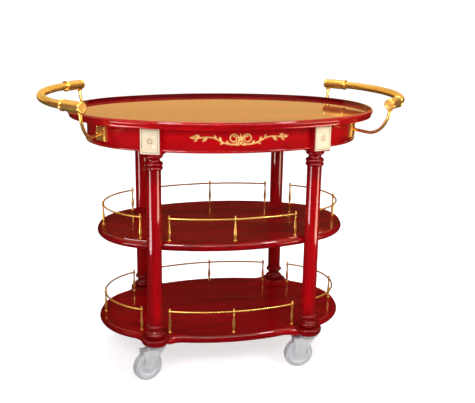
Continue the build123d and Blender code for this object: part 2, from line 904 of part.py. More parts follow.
# Top plate, race and kingpin
def make_caster_plate(side_x, side_y):
    foot = Plane(origin=(side_x * leg_x, side_y * leg_y, 0))
    kingpin_end = crown_low - end_play - kingpin_head
    with BuildPart() as plate:
        with BuildSketch(foot.offset(plate_under)):
            RectangleRounded(plate_size, plate_size, plate_corner)
            with GridLocations(plate_screw_spacing, plate_screw_spacing, 2, 2):
                Circle(screw_radius, mode=Mode.SUBTRACT)
        extrude(amount=plate_thickness)
        with BuildSketch(foot.offset(crown_high + end_play)):
            Circle(race_radius)
        extrude(amount=race_height)
        with BuildSketch(foot.offset(kingpin_end)):
            Circle(kingpin_radius)
        extrude(amount=plate_under - kingpin_end)
        with BuildSketch(foot.offset(kingpin_end)):
            Circle(kingpin_head_radius)
        extrude(amount=kingpin_head)
    return plate


# Fork: a round crown and two tapering cheeks, nearly upright behind the axle
def make_fork(frame):
    cheek_back = trail + fork_eye_radius + fork_heel
    cheek_length = crown_lead + cheek_back
    cheek_middle = (cheek_back - crown_lead) / 2
    with BuildPart() as fork:
        with BuildSketch(frame.offset(crown_low)):
            Circle(crown_radius)
            with Locations((cheek_middle, 0)):
                Rectangle(cheek_length, fork_gap + 2 * fork_sheet)
            Circle(kingpin_radius + running_fit, mode=Mode.SUBTRACT)
        extrude(amount=crown_thickness)
        for side in (-1, 1):
            inner = frame.origin + frame.y_dir * (side * fork_gap / 2)
            with BuildSketch(Plane(origin=inner, x_dir=frame.x_dir, z_dir=frame.y_dir * -1)):
                with Locations((cheek_middle, (crown_low + crown_high) / 2)):
                    Rectangle(cheek_length, crown_thickness)
                with Locations((trail, wheel_radius)):
                    Circle(fork_eye_radius)
                make_hull()
                with Locations((trail, wheel_radius)):
                    Circle(axle_radius, mode=Mode.SUBTRACT)
            extrude(amount=-side * fork_sheet)
    return fork


# Axle with a head outside each cheek
def make_axle(frame):
    plane = wheel_plane(frame)
    seat = fork_gap / 2 + fork_sheet
    tip = seat + axle_head
    with BuildPart() as axle:
        with BuildSketch(plane):
            with BuildLine():
                Polyline(
                    (-tip, 0),
                    (-tip, axle_head_radius),
                    (-seat, axle_head_radius),
                    (-seat, axle_radius),
                    (seat, axle_radius),
                    (seat, axle_head_radius),
                    (tip, axle_head_radius),
                    (tip, 0),
                    close=True,
                )
            make_face()
        revolve(axis=Axis(plane.origin, plane.x_dir))
    return axle


# Wheel core: hub, web and rim
def make_wheel_core(frame):
    plane = wheel_plane(frame)
    hub_half = fork_gap / 2 - end_play
    rim_half = wheel_width / 2 - core_rim_inset
    bore = axle_radius + running_fit
    with BuildPart() as core:
        with BuildSketch(plane):
            with BuildLine():
                Polyline(
                    (hub_half, bore),
                    (hub_half, hub_radius),
                    (core_web / 2, hub_radius),
                    (core_web / 2, core_radius - core_rim),
                    (rim_half, core_radius - core_rim),
                    (rim_half, core_radius),
                    (-rim_half, core_radius),
                    (-rim_half, core_radius - core_rim),
                    (-core_web / 2, core_radius - core_rim),
                    (-core_web / 2, hub_radius),
                    (-hub_half, hub_radius),
                    (-hub_half, bore),
                    close=True,
                )
            make_face()
        revolve(axis=Axis(plane.origin, plane.x_dir))
    return core


# Tyre with rounded shoulders
def make_tyre(frame):
    plane = wheel_plane(frame)
    with BuildPart() as tyre:
        with BuildSketch(plane) as section:
            with Locations((0, (core_radius + wheel_radius) / 2)):
                Rectangle(wheel_width, tyre_thickness)
            fillet(section.vertices().group_by(Axis.Y)[-1], tyre_shoulder)
        revolve(axis=Axis(plane.origin, plane.x_dir))
    return tyre


for corner, (side_x, side_y, heading) in corners.items():
    frame = caster_frame(side_x, side_y, heading)
    finish(make_caster_plate(side_x, side_y), "caster_plate_" + corner)
    finish(make_fork(frame), "caster_fork_" + corner)
    finish(make_axle(frame), "caster_axle_" + corner)
    finish(make_wheel_core(frame), "wheel_core_" + corner)
    finish(make_tyre(frame), "wheel_tyre_" + corner)

with BuildPart() as caster_screws:
    for side_x, side_y, heading in corners.values():
        screw_seat = Plane(origin=(side_x * leg_x, side_y * leg_y, plate_under))
        with BuildSketch(screw_seat):
            with GridLocations(plate_screw_spacing, plate_screw_spacing, 2, 2):
                Circle(screw_radius)
        extrude(amount=plate_thickness + plate_screw_in_leg)
        with BuildSketch(screw_seat):
            with GridLocations(plate_screw_spacing, plate_screw_spacing, 2, 2):
                Circle(screw_head_radius)
        extrude(amount=-screw_head_height, taper=screw_head_taper)
finish(caster_screws, "caster_screws")
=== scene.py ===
import json
import math

import bmesh
import bpy
from mathutils import Matrix, Quaternion, Vector


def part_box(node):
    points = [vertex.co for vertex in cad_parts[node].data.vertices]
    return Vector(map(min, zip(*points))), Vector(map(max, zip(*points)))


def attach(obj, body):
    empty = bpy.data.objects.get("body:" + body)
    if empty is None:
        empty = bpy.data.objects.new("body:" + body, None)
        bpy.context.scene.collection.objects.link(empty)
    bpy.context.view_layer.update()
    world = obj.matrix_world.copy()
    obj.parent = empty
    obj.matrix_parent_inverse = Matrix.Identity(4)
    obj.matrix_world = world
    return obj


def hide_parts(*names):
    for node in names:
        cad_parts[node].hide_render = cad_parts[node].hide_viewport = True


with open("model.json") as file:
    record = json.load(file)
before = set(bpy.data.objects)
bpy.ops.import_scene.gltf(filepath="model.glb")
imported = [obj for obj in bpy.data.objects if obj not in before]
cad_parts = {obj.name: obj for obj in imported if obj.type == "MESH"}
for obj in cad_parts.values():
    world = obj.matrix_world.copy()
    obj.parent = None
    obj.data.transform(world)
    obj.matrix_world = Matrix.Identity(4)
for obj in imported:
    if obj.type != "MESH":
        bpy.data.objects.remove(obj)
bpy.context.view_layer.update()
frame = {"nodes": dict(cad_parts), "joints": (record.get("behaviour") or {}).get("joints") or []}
nodes = frame["nodes"]
corners = {"front_left": (-1, -1), "front_right": (1, -1), "back_left": (-1, 1), "back_right": (1, 1)}
mm = 0.001
upward = Vector((0, 0, 1))
tip = 0.02  # radius, in millimetres, at which a turned end closes
print("frame loaded:", len(nodes), "nodes")


class Wire:
    # an output socket whose arithmetic adds Math nodes
    def __init__(self, finish, socket):
        self.finish = finish
        self.socket = socket

    def other(self, name):
        return Wire(self.finish, self.socket.node.outputs[name])

    def maths(self, operation, first, second=0.0, third=0.0):
        return self.finish.add("ShaderNodeMath", {"operation": operation}, {0: first, 1: second, 2: third})

    def __add__(self, value):
        return self.maths("ADD", self, value)

    def __radd__(self, value):
        return self.maths("ADD", value, self)

    def __sub__(self, value):
        return self.maths("SUBTRACT", self, value)

    def __rsub__(self, value):
        return self.maths("SUBTRACT", value, self)

    def __mul__(self, value):
        return self.maths("MULTIPLY", self, value)

    def __rmul__(self, value):
        return self.maths("MULTIPLY", value, self)

    def __truediv__(self, value):
        return self.maths("DIVIDE", self, value)

    def __rtruediv__(self, value):
        return self.maths("DIVIDE", value, self)

    def __pow__(self, value):
        return self.maths("POWER", self, value)

    def __rpow__(self, value):
        return self.maths("POWER", value, self)

    def larger(self, value):
        return self.maths("MAXIMUM", self, value)

    def turn(self, other):
        return self.maths("ARCTAN2", self, other)

    def rise(self, low, high):
        # 0 below low, 1 above high, smooth between
        limits = {"Value": self, "From Min": low, "From Max": high}
        return self.finish.add("ShaderNodeMapRange", {"interpolation_type": "SMOOTHSTEP"}, limits)


class Finish:
    # one material and its node tree
    def __init__(self, name, owner=None):
        self.material = owner or bpy.data.materials.new(name)
        self.material.use_nodes = True
        self.tree = self.material.node_tree
        self.tree.nodes.clear()

    def add(self, kind, settings, inputs, output=0):
        node = self.tree.nodes.new(kind)
        for key, value in settings.items():
            setattr(node, key, value)
        for key, value in inputs.items():
            if isinstance(value, Wire):
                self.tree.links.new(value.socket, node.inputs[key])
            else:
                node.inputs[key].default_value = value
        return Wire(self, node.outputs[output]) if node.outputs else node

    def blend(self, first, second, factor):
        settings = {"data_type": "RGBA"}
        return self.add("ShaderNodeMix", settings, {0: factor, 6: first, 7: second}, 2)

    def spot(self):
        return self.add("ShaderNodeTexCoord", {}, {}, "Object")

    def place(self):
        # x of the spot, with y and z as its other outputs
        return self.add("ShaderNodeSeparateXYZ", {}, {"Vector": self.spot()})

    def vector(self, x, y, z):
        return self.add("ShaderNodeCombineXYZ", {}, {"X": x, "Y": y, "Z": z})

    def noise(self, vector, scale, detail=3.0, roughness=0.5):
        inputs = {"Vector": vector, "Scale": scale, "Detail": detail, "Roughness": roughness}
        return self.add("ShaderNodeTexNoise", {}, inputs)

    def bump(self, height, strength, distance):
        inputs = {"Height": height, "Strength": strength, "Distance": distance}
        return self.add("ShaderNodeBump", {}, inputs)

    def surface(self, inputs):
        shader = self.add("ShaderNodeBsdfPrincipled", {}, inputs)
        self.add("ShaderNodeOutputMaterial", {}, {"Surface": shader})
        return self.material


def rgb(red, green, blue):
    return (red, green, blue, 1.0)


lacquer = {
    # lighter and deeper tone of the figure
    "bright": (rgb(0.60, 0.001, 0.005), rgb(0.31, 0.0006, 0.004)),
    # painted shade: a darker copy of the lacquer, laid on the tray floor, the shelf boards and the shelf
    # edges
    "dark": (rgb(0.50, 0.0008, 0.0045), rgb(0.19, 0.0004, 0.003)),
    "pore": rgb(0.10, 0.0004, 0.003),
    # painted shade for the capitals and feet of the legs
    "paintedLegShade": rgb(0.22, 0.0004, 0.004),
    # painted shade for the rim's wall that faces into the tray
    "inside": rgb(0.13, 0.0004, 0.004),
    # noise cells to a metre along and across the grain, then detail and roughness
    "ribbon": (1.6, 14.0, 4.0, 0.55),
    "streak": (9.0, 240.0, 3.0, 0.6),
    "pores": (40.0, 1400.0, 2.0, 0.5),
    "roundRadius": 0.4,
    "figureRange": (0.34, 0.66),
    "poreRange": (0.62, 0.78),
    "poreShare": 0.35,
    # heights in metres at which the painted shade on a leg's capital rings begins and ends, and over which
    # the painted shade at its foot fades out upwards
    "capital": (0.60, 0.635, 0.70, 0.705),
    "base": (0.16, 0.22),
    "legShadeShare": 0.8,
    "insideShadeRange": (-0.6, -0.1),
    "clouds": 5.0,
    "roughness": 0.4,
    "coatRoughness": 0.03,
    "coatIor": 1.5,
    "specular": 0.03,
}


def lacquerFinish(name, grain, shading, paintedShadeInside=False):
    # red mahogany under a thick polished lacquer; grain runs along x, up z, or round the oval
    finish = Finish(name)
    x = finish.place()
    y = x.other("Y")
    z = x.other("Z")
    if grain == "along":
        run, across, depth = x, y, z
    elif grain == "up":
        run, across, depth = z, x, y
    else:
        run, across, depth = y.turn(x) * lacquer["roundRadius"], z, (x * x + y * y) ** 0.5

    def layer(kind):
        lengthways, crossways, detail, roughness = lacquer[kind]
        cells = finish.vector(run * lengthways, across * crossways, depth * crossways)
        return finish.noise(cells, 1.0, detail, roughness)

    ribbon = layer("ribbon")
    streak = layer("streak")
    pores = layer("pores")
    figure = (ribbon * 0.65 + streak * 0.35).rise(*lacquer["figureRange"])
    light, deep = lacquer[shading]
    wood = finish.blend(deep, light, figure)
    if grain == "up":
        # painted shade: the lacquer is darkened over the capital rings and towards the foot of a leg, where
        # less light falls
        low, full, top, past = lacquer["capital"]
        paintedLegShade = z.rise(low, full) * (1.0 - z.rise(top, past)) + (1.0 - z.rise(*lacquer["base"]))
        wood = finish.blend(wood, lacquer["paintedLegShade"], paintedLegShade * lacquer["legShadeShare"])
    if paintedShadeInside:
        # painted shade: the wall that faces the middle of the tray is darkened, as if in shade
        normal = finish.add("ShaderNodeTexCoord", {}, {}, "Normal")
        sideways = finish.add("ShaderNodeSeparateXYZ", {}, {"Vector": normal})
        outward = (x * sideways + y * sideways.other("Y")) / depth
        wood = finish.blend(lacquer["inside"], wood, outward.rise(*lacquer["insideShadeRange"]))
    colour = finish.blend(wood, lacquer["pore"], pores.rise(*lacquer["poreRange"]) * lacquer["poreShare"])
    clouds = finish.noise(finish.spot(), lacquer["clouds"], 2.0)
    return finish.surface(
        {
            "Base Color": colour,
            "Roughness": lacquer["roughness"] + clouds * 0.08,
            "Coat Weight": 0.94 + clouds * 0.06,
            "Coat Roughness": lacquer["coatRoughness"],
            "Coat IOR": lacquer["coatIor"],
            "Specular IOR Level": lacquer["specular"],
            "Normal": finish.bump(streak * 0.6 + pores * 0.4, 0.04, 0.0003),
        }
    )


brass = {
    "bright": rgb(1.0, 0.65, 0.17),
    "warm": rgb(0.95, 0.36, 0.05),
    "roughness": 0.25,
    "metallic": 0.84,
    # noise cells to a metre
    "patches": 22.0,
    "waves": 95.0,
}
leafGilt = {
    **brass,
    "bright": rgb(0.95, 0.60, 0.22),
    "warm": rgb(0.80, 0.39, 0.09),
    "roughness": 0.3,
    "metallic": 0.45,
}


def brassFinish(name, paint):
    # satin gilt brass: soft warm patches and faint hand-buffed waves
    finish = Finish(name)
    spot = finish.spot()
    patches = finish.noise(spot, paint["patches"])
    waves = finish.noise(spot, paint["waves"], 2.0, 0.4)
    return finish.surface(
        {
            "Base Color": finish.blend(paint["bright"], paint["warm"], patches.rise(0.42, 0.8) * 0.5),
            "Metallic": paint["metallic"],
            "Roughness": paint["roughness"] + patches * 0.06,
            "Normal": finish.bump(waves, 0.003, 0.0004),
        }
    )


plaqueGilt = {
    "field": rgb(0.88, 0.74, 0.50),
    "raised": rgb(0.95, 0.87, 0.70),
    "hollow": rgb(0.46, 0.33, 0.16),
    # shares of the relief's height over which one tone passes into the next
    "fieldRange": (0.18, 0.42),
    "raisedRange": (0.5, 0.95),
    "patches": 120.0,
    "roughness": 0.36,
    "metallic": 0.12,
    "specular": 0.5,
}


def plaqueFinish():
    # cream gilt: paler on the raised relief, old gold left in the hollows
    finish = Finish("creamGilt")
    height = finish.add("ShaderNodeAttribute", {"attribute_name": "relief"}, {}, "Fac")
    patches = finish.noise(finish.spot(), plaqueGilt["patches"], 3.0, 0.55)
    body = finish.blend(plaqueGilt["hollow"], plaqueGilt["field"], height.rise(*plaqueGilt["fieldRange"]))
    raised = (height + patches * 0.2).rise(*plaqueGilt["raisedRange"])
    return finish.surface(
        {
            "Base Color": finish.blend(body, plaqueGilt["raised"], raised),
            "Metallic": plaqueGilt["metallic"],
            "Roughness": plaqueGilt["roughness"] + patches * 0.14,
            "Specular IOR Level": plaqueGilt["specular"],
            "Normal": finish.bump(patches, 0.04, 0.0003),
        }
    )


zinc = {
    "colour": rgb(0.95, 0.955, 0.96),
    "shade": rgb(0.84, 0.855, 0.88),
    "clouds": 45.0,
    "spangle": 320.0,
    "roughness": 0.34,
    "metallic": 0.15,
    "specular": 0.6,
}


def zincFinish():
    # plated sheet: soft cloudy sheen with a faint spangle
    finish = Finish("brightZinc")
    spot = finish.spot()
    clouds = finish.noise(spot, zinc["clouds"], 2.0)
    spangle = finish.noise(spot, zinc["spangle"], 2.0)
    bright = (clouds * 0.7 + spangle * 0.3).rise(0.3, 0.65)
    return finish.surface(
        {
            "Base Color": finish.blend(zinc["shade"], zinc["colour"], bright),
            "Metallic": zinc["metallic"],
            "Roughness": zinc["roughness"] + clouds * 0.12,
            "Specular IOR Level": zinc["specular"],
            "Normal": finish.bump(spangle, 0.02, 0.0002),
        }
    )


wheelGrey = {
    "core": {"colour": rgb(0.86, 0.88, 0.91), "roughness": 0.38, "specular": 0.5},
    "tyre": {"colour": rgb(0.70, 0.715, 0.74), "roughness": 0.58, "specular": 0.35},
    "dust": rgb(0.84, 0.84, 0.84),
    "pitting": 900.0,
    "scuffs": 60.0,
}


def mouldedFinish(name, paint):
    # moulded wheel material: fine pitting, and dust in scuffed patches
    finish = Finish(name)
    spot = finish.spot()
    pitting = finish.noise(spot, wheelGrey["pitting"], 3.0, 0.6)
    scuffs = finish.noise(spot, wheelGrey["scuffs"], 5.0, 0.65)
    return finish.surface(
        {
            "Base Color": finish.blend(paint["colour"], wheelGrey["dust"], scuffs.rise(0.5, 0.8) * 0.5),
            "Roughness": paint["roughness"] + scuffs * 0.2,
            "Specular IOR Level": paint["specular"],
            "Normal": finish.bump(pitting, 0.12, 0.0004),
        }
    )


beech = {"light": rgb(0.66, 0.47, 0.29), "dark": rgb(0.48, 0.31, 0.17), "across": 500.0, "along": 60.0}


def beechFinish():
    # bare wood of the dowels, with a fine fleck
    finish = Finish("plainBeech")
    x = finish.place()
    across = beech["across"]
    cells = finish.vector(x * across, x.other("Y") * across, x.other("Z") * beech["along"])
    fleck = finish.noise(cells, 1.0)
    colour = finish.blend(beech["light"], beech["dark"], fleck.rise(0.4, 0.7))
    return finish.surface({"Base Color": colour, "Roughness": 0.6 + fleck * 0.2})


# the tray floor, shelf boards and shelf edges get the darker, painted-shade copy of the lacquer
lacquerAlong = lacquerFinish("redLacquerAlong", "along", "dark")
lacquerUp = lacquerFinish("redLacquerUp", "up", "bright")
lacquerRound = lacquerFinish("redLacquerRound", "round", "bright")
lacquerEdge = lacquerFinish("redLacquerEdge", "round", "dark")
lacquerRim = lacquerFinish("redLacquerRim", "round", "bright", paintedShadeInside=True)
giltBrass = brassFinish("giltBrass", brass)
scrollGilt = brassFinish("scrollGilt", leafGilt)
paleGilt = plaqueFinish()
brightZinc = zincFinish()
coreGrey = mouldedFinish("wheelCoreGrey", wheelGrey["core"])
tyreGrey = mouldedFinish("wheelTyreGrey", wheelGrey["tyre"])
plainBeech = beechFinish()

# finishes by the first words of a node's name, the first that fits; all else is brass
finishOf = {
    "top_board": lacquerAlong,
    "top_rim": lacquerRim,
    "apron": lacquerRound,
    "middle_shelf_edge": lacquerEdge,
    "bottom_shelf_edge": lacquerEdge,
    "middle_shelf": lacquerAlong,
    "bottom_shelf": lacquerAlong,
    "shelf_dowels": plainBeech,
    "leg": lacquerUp,
    "scroll": scrollGilt,
    "plaque": paleGilt,
    "caster": brightZinc,
    "wheel_core": coreGrey,
    "wheel_tyre": tyreGrey,
}
for name, node in nodes.items():
    fitting = [finish for words, finish in finishOf.items() if name.startswith(words)]
    node.data.materials.clear()
    node.data.materials.append((fitting + [giltBrass])[0])
print("finishes laid on", len(nodes), "nodes")


class Shape:
    # vertices and faces of one piece, gathered before the mesh is made
    def __init__(self):
        self.points = []
        self.faces = []
        self.levels = []

    def grid(self, rows, loop=False, levels=None):
        # quads between equal rows of points; loop closes each row on itself
        first = len(self.points)
        width = len(rows[0])
        for row in rows:
            self.points.extend(row)
        self.levels.extend(levels or [1.0] * (width * len(rows)))
        for i in range(len(rows) - 1):
            for j in range(width if loop else width - 1):
                a = first + i * width + j
                b = first + i * width + (j + 1) % width
                self.faces.append((a, b, b + width, a + width))
        return first, width

    def cap(self, indices):
        self.faces.append(tuple(indices))

    def band(self, one, two):
        # quads between two rings of indices
        for k in range(len(one)):
            after = (k + 1) % len(one)
            self.cap((one[k], one[after], two[after], two[k]))

    def sheet(self, rows, levels=None):
        # an open grid, which gives the indices round its edge
        first, width = self.grid(rows, levels=levels)
        last = first + (len(rows) - 1) * width
        edge = list(range(first, first + width))
        edge += range(first + 2 * width - 1, last + width, width)
        edge += range(last + width - 2, last - 1, -1)
        edge += range(last - width, first, -width)
        return edge

    def tube(self, rows):
        # closed rings joined into a tube with both ends shut
        first, width = self.grid(rows, loop=True)
        last = first + (len(rows) - 1) * width
        self.cap(range(first + width - 1, first - 1, -1))
        self.cap(range(last, last + width))

    def spun(self, foot, axis, profile, segments):
        # rings of a profile of (radius, distance) in millimetres, about an axis
        side = axis.cross(upward if abs(axis.z) < 0.9 else Vector((1, 0, 0))).normalized()
        over = axis.cross(side)
        turns = [2 * math.pi * k / segments for k in range(segments)]
        spokes = [side * math.cos(turn) + over * math.sin(turn) for turn in turns]
        rows = []
        for radius, along in profile:
            centre = foot + axis * (along * mm)
            rows.append([centre + spoke * (radius * mm) for spoke in spokes])
        return rows

    def turned(self, foot, axis, profile, segments):
        self.tube(self.spun(foot, axis, profile, segments))

    def hoop(self, foot, axis, profile, segments):
        # a ring whose profile closes on itself
        first, width = self.grid(self.spun(foot, axis, profile, segments), loop=True)
        last = first + (len(profile) - 1) * width
        self.band(range(last, last + width), range(first, first + width))

    def rod(self, path, radius, put, segments):
        # a round rod along a flat path of (a, b, angle); put takes a, b and the distance off its plane
        rows = []
        for a, b, angle in path:
            row = []
            for k in range(segments):
                turn = 2 * math.pi * k / segments
                off = radius * math.cos(turn)
                lift = radius * math.sin(turn)
                row.append(put(a - math.sin(angle) * off, b + math.cos(angle) * off, lift))
            rows.append(row)
        self.tube(rows)


def makePiece(name, shape, finish, body, stoodFor, smoothAngle=40.0):
    mesh = bpy.data.meshes.new(name)
    mesh.from_pydata([tuple(point) for point in shape.points], [], shape.faces)
    tidy = bmesh.new()
    tidy.from_mesh(mesh)
    bmesh.ops.recalc_face_normals(tidy, faces=tidy.faces)
    tidy.to_mesh(mesh)
    tidy.free()
    relief = mesh.attributes.new("relief", "FLOAT", "POINT")
    relief.data.foreach_set("value", shape.levels)
    mesh.materials.append(finish)
    piece = bpy.data.objects.new(name, mesh)
    bpy.context.scene.collection.objects.link(piece)
    mesh.shade_smooth()
    mesh.set_sharp_from_angle(angle=math.radians(smoothAngle))
    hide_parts(*stoodFor)
    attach(piece, body)


def faceAxes(normal, sideX, sideY):
    # outward and sideways directions of a face whose normal is so many degrees off the long axis
    turn = math.radians(normal)
    out = Vector((sideX * math.cos(turn), sideY * math.sin(turn), 0.0))
    return out, Vector((-out.y, out.x, 0.0))


def onFace(spot, right, out, u, v, rise):
    # a point sideways, upwards and outwards of a spot, in millimetres
    return spot + right * (u * mm) + upward * (v * mm) + out * (rise * mm)


def plateRows(size, place):
    # rows of what place gives over a plate, at millimetres from its middle
    columns = int(size["width"] / size["cell"])
    rows = int(size["height"] / size["cell"])
    sheet = []
    for i in range(rows + 1):
        v = size["height"] * (i / rows - 0.5)
        sheet.append([place(size["width"] * (j / columns - 0.5), v) for j in range(columns + 1)])
    return sheet


# gilt plaques: relief plates on the leg blocks
plaqueLow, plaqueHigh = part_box("plaque_front_left")
plaque = {
    "width": 56.0,
    "height": (plaqueHigh.z - plaqueLow.z) / mm,
    "depth": 5.0,
    "normal": 68.602,
    "cell": 0.5,
    "border": 3.6,
    "channel": 1.8,
    "field": 2.5,
    "sunk": 0.9,
    "medallion": 8.0,
    "petals": 8,
    "petalRise": 2.6,
    "eye": 2.2,
    "eyeRise": 3.6,
    # leaves: foot, length and half width
    "cornerLeaf": ((8.0, 12.0), 14.0, 3.0),
    "cornerLean": 1.35,
    "middleLeaf": (10.0, 15.0, 2.6),
    "leafRise": 1.5,
}


def dome(distance, radius):
    # 1 at the middle of a round swelling, 0 from its radius outwards
    share = max(0.0, 1.0 - (distance / radius) ** 2)
    return math.sqrt(share)


def leafSwell(u, v, angle, length, width):
    # a pointed leaf from the origin along an angle, with a sunk middle rib
    along = u * math.cos(angle) + v * math.sin(angle)
    across = v * math.cos(angle) - u * math.sin(angle)
    if along <= 0.0 or along >= length:
        return 0.0
    half = width * math.sin(math.pi * (along / length) ** 0.75)
    if abs(across) >= half:
        return 0.0
    rib = 0.45 * math.exp(-((across / 0.45) ** 2))
    return (dome(across, half) - rib) * min(1.0, 2.5 * (1.0 - along / length))


def plaqueHeight(u, v):
    edge = min(plaque["width"] / 2 - abs(u), plaque["height"] / 2 - abs(v))
    border = plaque["border"]
    field = plaque["field"]
    if edge < border:
        return field + (plaque["depth"] - field) * dome(edge - border / 2, border / 2) ** 0.7
    if edge < border + plaque["channel"]:
        return plaque["sunk"]
    radius = math.hypot(u, v)
    # a small rosette in a sunk round
    if radius < plaque["medallion"]:
        lobe = abs(math.cos(math.atan2(v, u) * plaque["petals"] / 2))
        reach = plaque["medallion"] * (0.55 + 0.33 * lobe)
        petal = 0.0
        if radius < reach:
            petal = plaque["petalRise"] * dome(radius - reach * 0.55, reach * 0.45) * (0.3 + 0.7 * lobe)
        return plaque["sunk"] + max(petal, plaque["eyeRise"] * dome(radius, plaque["eye"]))
    leaves = [0.0]
    (footX, footY), length, half = plaque["cornerLeaf"]
    for sideX, sideY in corners.values():
        outward = math.atan2(sideY * plaque["cornerLean"], sideX)
        leaves.append(leafSwell(u - sideX * footX, v - sideY * footY, outward, length, half))
    foot, length, half = plaque["middleLeaf"]
    for sideY in (-1, 1):
        leaves.append(leafSwell(u, v - sideY * foot, sideY * math.pi / 2, length, half))
    return field + plaque["leafRise"] * max(leaves)


def reliefPlate(corner, sideX, sideY):
    low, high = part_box("plaque_" + corner)
    out, right = faceAxes(plaque["normal"], sideX, sideY)
    back = (low + high) / 2 - out * (plaque["depth"] * mm / 2)
    carving = plateRows(plaque, lambda u, v: (u, v, plaqueHeight(u, v)))
    front = [[onFace(back, right, out, *spot) for spot in line] for line in carving]
    shape = Shape()
    edge = shape.sheet(front, [height / plaque["depth"] for line in carving for u, v, height in line])
    # walls down to the block, and a flat back
    foot = range(len(shape.points), len(shape.points) + len(edge))
    for index in edge:
        point = shape.points[index]
        shape.points.append(point - out * (point - back).dot(out))
        shape.levels.append(0.0)
    shape.band(foot, edge)
    shape.cap(reversed(foot))
    makePiece("plaqueRelief_" + corner, shape, paleGilt, "cart", ["plaque_" + corner])


for corner, (sideX, sideY) in corners.items():
    reliefPlate(corner, sideX, sideY)
print("plaques carved")


# gilt scroll on each long side of the apron, in millimetres on its curved face
screwLow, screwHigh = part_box("bracket_screws")
apronFace = {
    "halfLength": 423.0,
    "halfWidth": 284.0,
    "endRadius": 238.0,
    "middle": (screwLow.z + screwHigh.z) / 2 / mm,
}
scroll = {
    "voluteCentre": 19.5,
    "voluteRadius": 14.5,
    "voluteShrink": 0.74,
    "voluteHalfTurns": 3,
    # radius and height of the volute's button
    "eye": (2.9, 3.7),
    # arcs of the stem: radius and turn
    "rise": (81.0, 31.0),
    "fall": (66.0, -46.0),
    "flick": (40.0, 26.0),
    "stemHalf": 3.0,
    "stemTip": 1.7,
    "stemHeight": 3.4,
    "leafLength": 17.0,
    "leafHalf": 3.9,
    "leafHeight": 3.4,
    "leafSpread": 50.0,
    "leafCurl": 40.0,
    "leafLobes": 3,
    # leaves along the stem: share of its points, side and size
    "sprays": (
        (0.12, 1, 0.7),
        (0.24, -1, 0.7),
        (0.3, 1, 0.85),
        (0.4, 1, 0.75),
        (0.58, -1, 1.05),
        (0.72, 1, 1.0),
        (0.86, -1, 0.8),
        (0.97, 1, 0.55),
        (0.98, 0, 0.9),
    ),
    # leaves in the middle: foot, heading, length, half width, height, curl and lobes
    "palmette": ((0.0, -4.0), 90.0, 21.0, 3.4, 3.7, 0.0, 5),
    "palmetteSide": ((0.5, -4.0), 56.0, 17.85, 2.8, 3.3, -40.0, 4),
    "calyx": ((0.2, -13.0), -14.0, 19.5, 2.4, 2.8, 22.0, 3),
    # button under them: place, radius and height
    "knob": (0.0, -9.5, 3.6, 3.9),
}


def onApron(x, z, rise, sideY):
    endCentre = apronFace["halfLength"] - apronFace["endRadius"]
    halfWidth = apronFace["halfWidth"]
    spare = 2 * (halfWidth - apronFace["endRadius"])
    radius = (endCentre**2 + halfWidth**2 - apronFace["endRadius"] ** 2) / spare
    y = math.sqrt((radius + rise) ** 2 - x**2) - (radius - halfWidth)
    return Vector((x * mm, sideY * y * mm, (apronFace["middle"] + z) * mm))


def bend(start, heading, radius, turn, steps):
    # points along an arc with their headings; a positive turn goes to the left
    way = 1 if turn > 0 else -1
    path = []
    for k in range(steps + 1):
        angle = math.radians(heading)
        swing = math.radians(turn * k / steps)
        centreX = start[0] - way * radius * math.sin(angle)
        centreZ = start[1] + way * radius * math.cos(angle)
        x = centreX + way * radius * math.sin(angle + swing)
        z = centreZ - way * radius * math.cos(angle + swing)
        path.append((x, z, angle + swing))
    return path


def onward(path, radius, turn, steps):
    # the next arc from a path's last point
    x, z, angle = path[-1]
    return bend((x, z), math.degrees(angle), radius, turn, steps)[1:]


def addRibbon(shape, rings, put):
    # a closed run of rings, each a list of (x, z, rise)
    shape.tube([[put(*point) for point in ring] for ring in rings])


def stemRings(path, startHalf, endHalf, height, sides=10):
    rings = []
    for k, (x, z, angle) in enumerate(path):
        half = startHalf + (endHalf - startHalf) * k / (len(path) - 1)
        ring = []
        for j in range(sides + 1):
            turn = math.pi * j / sides
            across = half * math.cos(turn)
            lift = height * half / scroll["stemHalf"] * math.sin(turn)
            ring.append((x - math.sin(angle) * across, z + math.cos(angle) * across, lift))
        rings.append(ring)
    return rings


def leafRings(base, heading, length, half, height, curl, lobes, steps=22, columns=14):
    # a curling leaf with scalloped edges, a sunk rib and slanting veins
    curl = curl or 1.0  # a straight leaf follows a very flat arc
    axis = bend(base, heading - curl * 0.35, length / abs(math.radians(curl)), curl, steps)
    rings = []
    for k, (x, z, angle) in enumerate(axis):
        s = 0.03 + 0.965 * k / steps
        scallop = 1.0 + 0.2 * abs(math.sin(math.pi * lobes * s))
        wide = half * math.sin(math.pi * s**0.78) ** 0.85 * scallop + 0.15
        crown = height * (0.3 + 0.7 * math.sin(math.pi * s**0.7) ** 0.6)
        ring = [(x + math.sin(angle) * wide, z - math.cos(angle) * wide, 0.0)]
        for j in range(columns + 1):
            c = 2.0 * j / columns - 1.0
            vein = max(0.0, math.cos(2 * math.pi * (lobes * s - 0.7 * abs(c)))) ** 3
            lift = 0.4 + 0.6 * (1 - c * c) ** 0.6 - 0.3 * math.exp(-((c / 0.16) ** 2)) - 0.14 * vein
            ring.append((x - math.sin(angle) * wide * c, z + math.cos(angle) * wide * c, crown * lift))
        ring.append((x - math.sin(angle) * wide, z + math.cos(angle) * wide, 0.0))
        rings.append(ring)
    return rings


def buttonRings(x, z, radius, height, steps=8, sides=24):
    rings = []
    for k in range(steps + 1):
        turn = 0.5 * math.pi * k / steps
        reach = max(tip, radius * math.cos(turn))
        lift = height * math.sin(turn)
        spokes = [2 * math.pi * j / sides for j in range(sides)]
        rings.append([(x + reach * math.cos(a), z + reach * math.sin(a), lift) for a in spokes])
    return rings


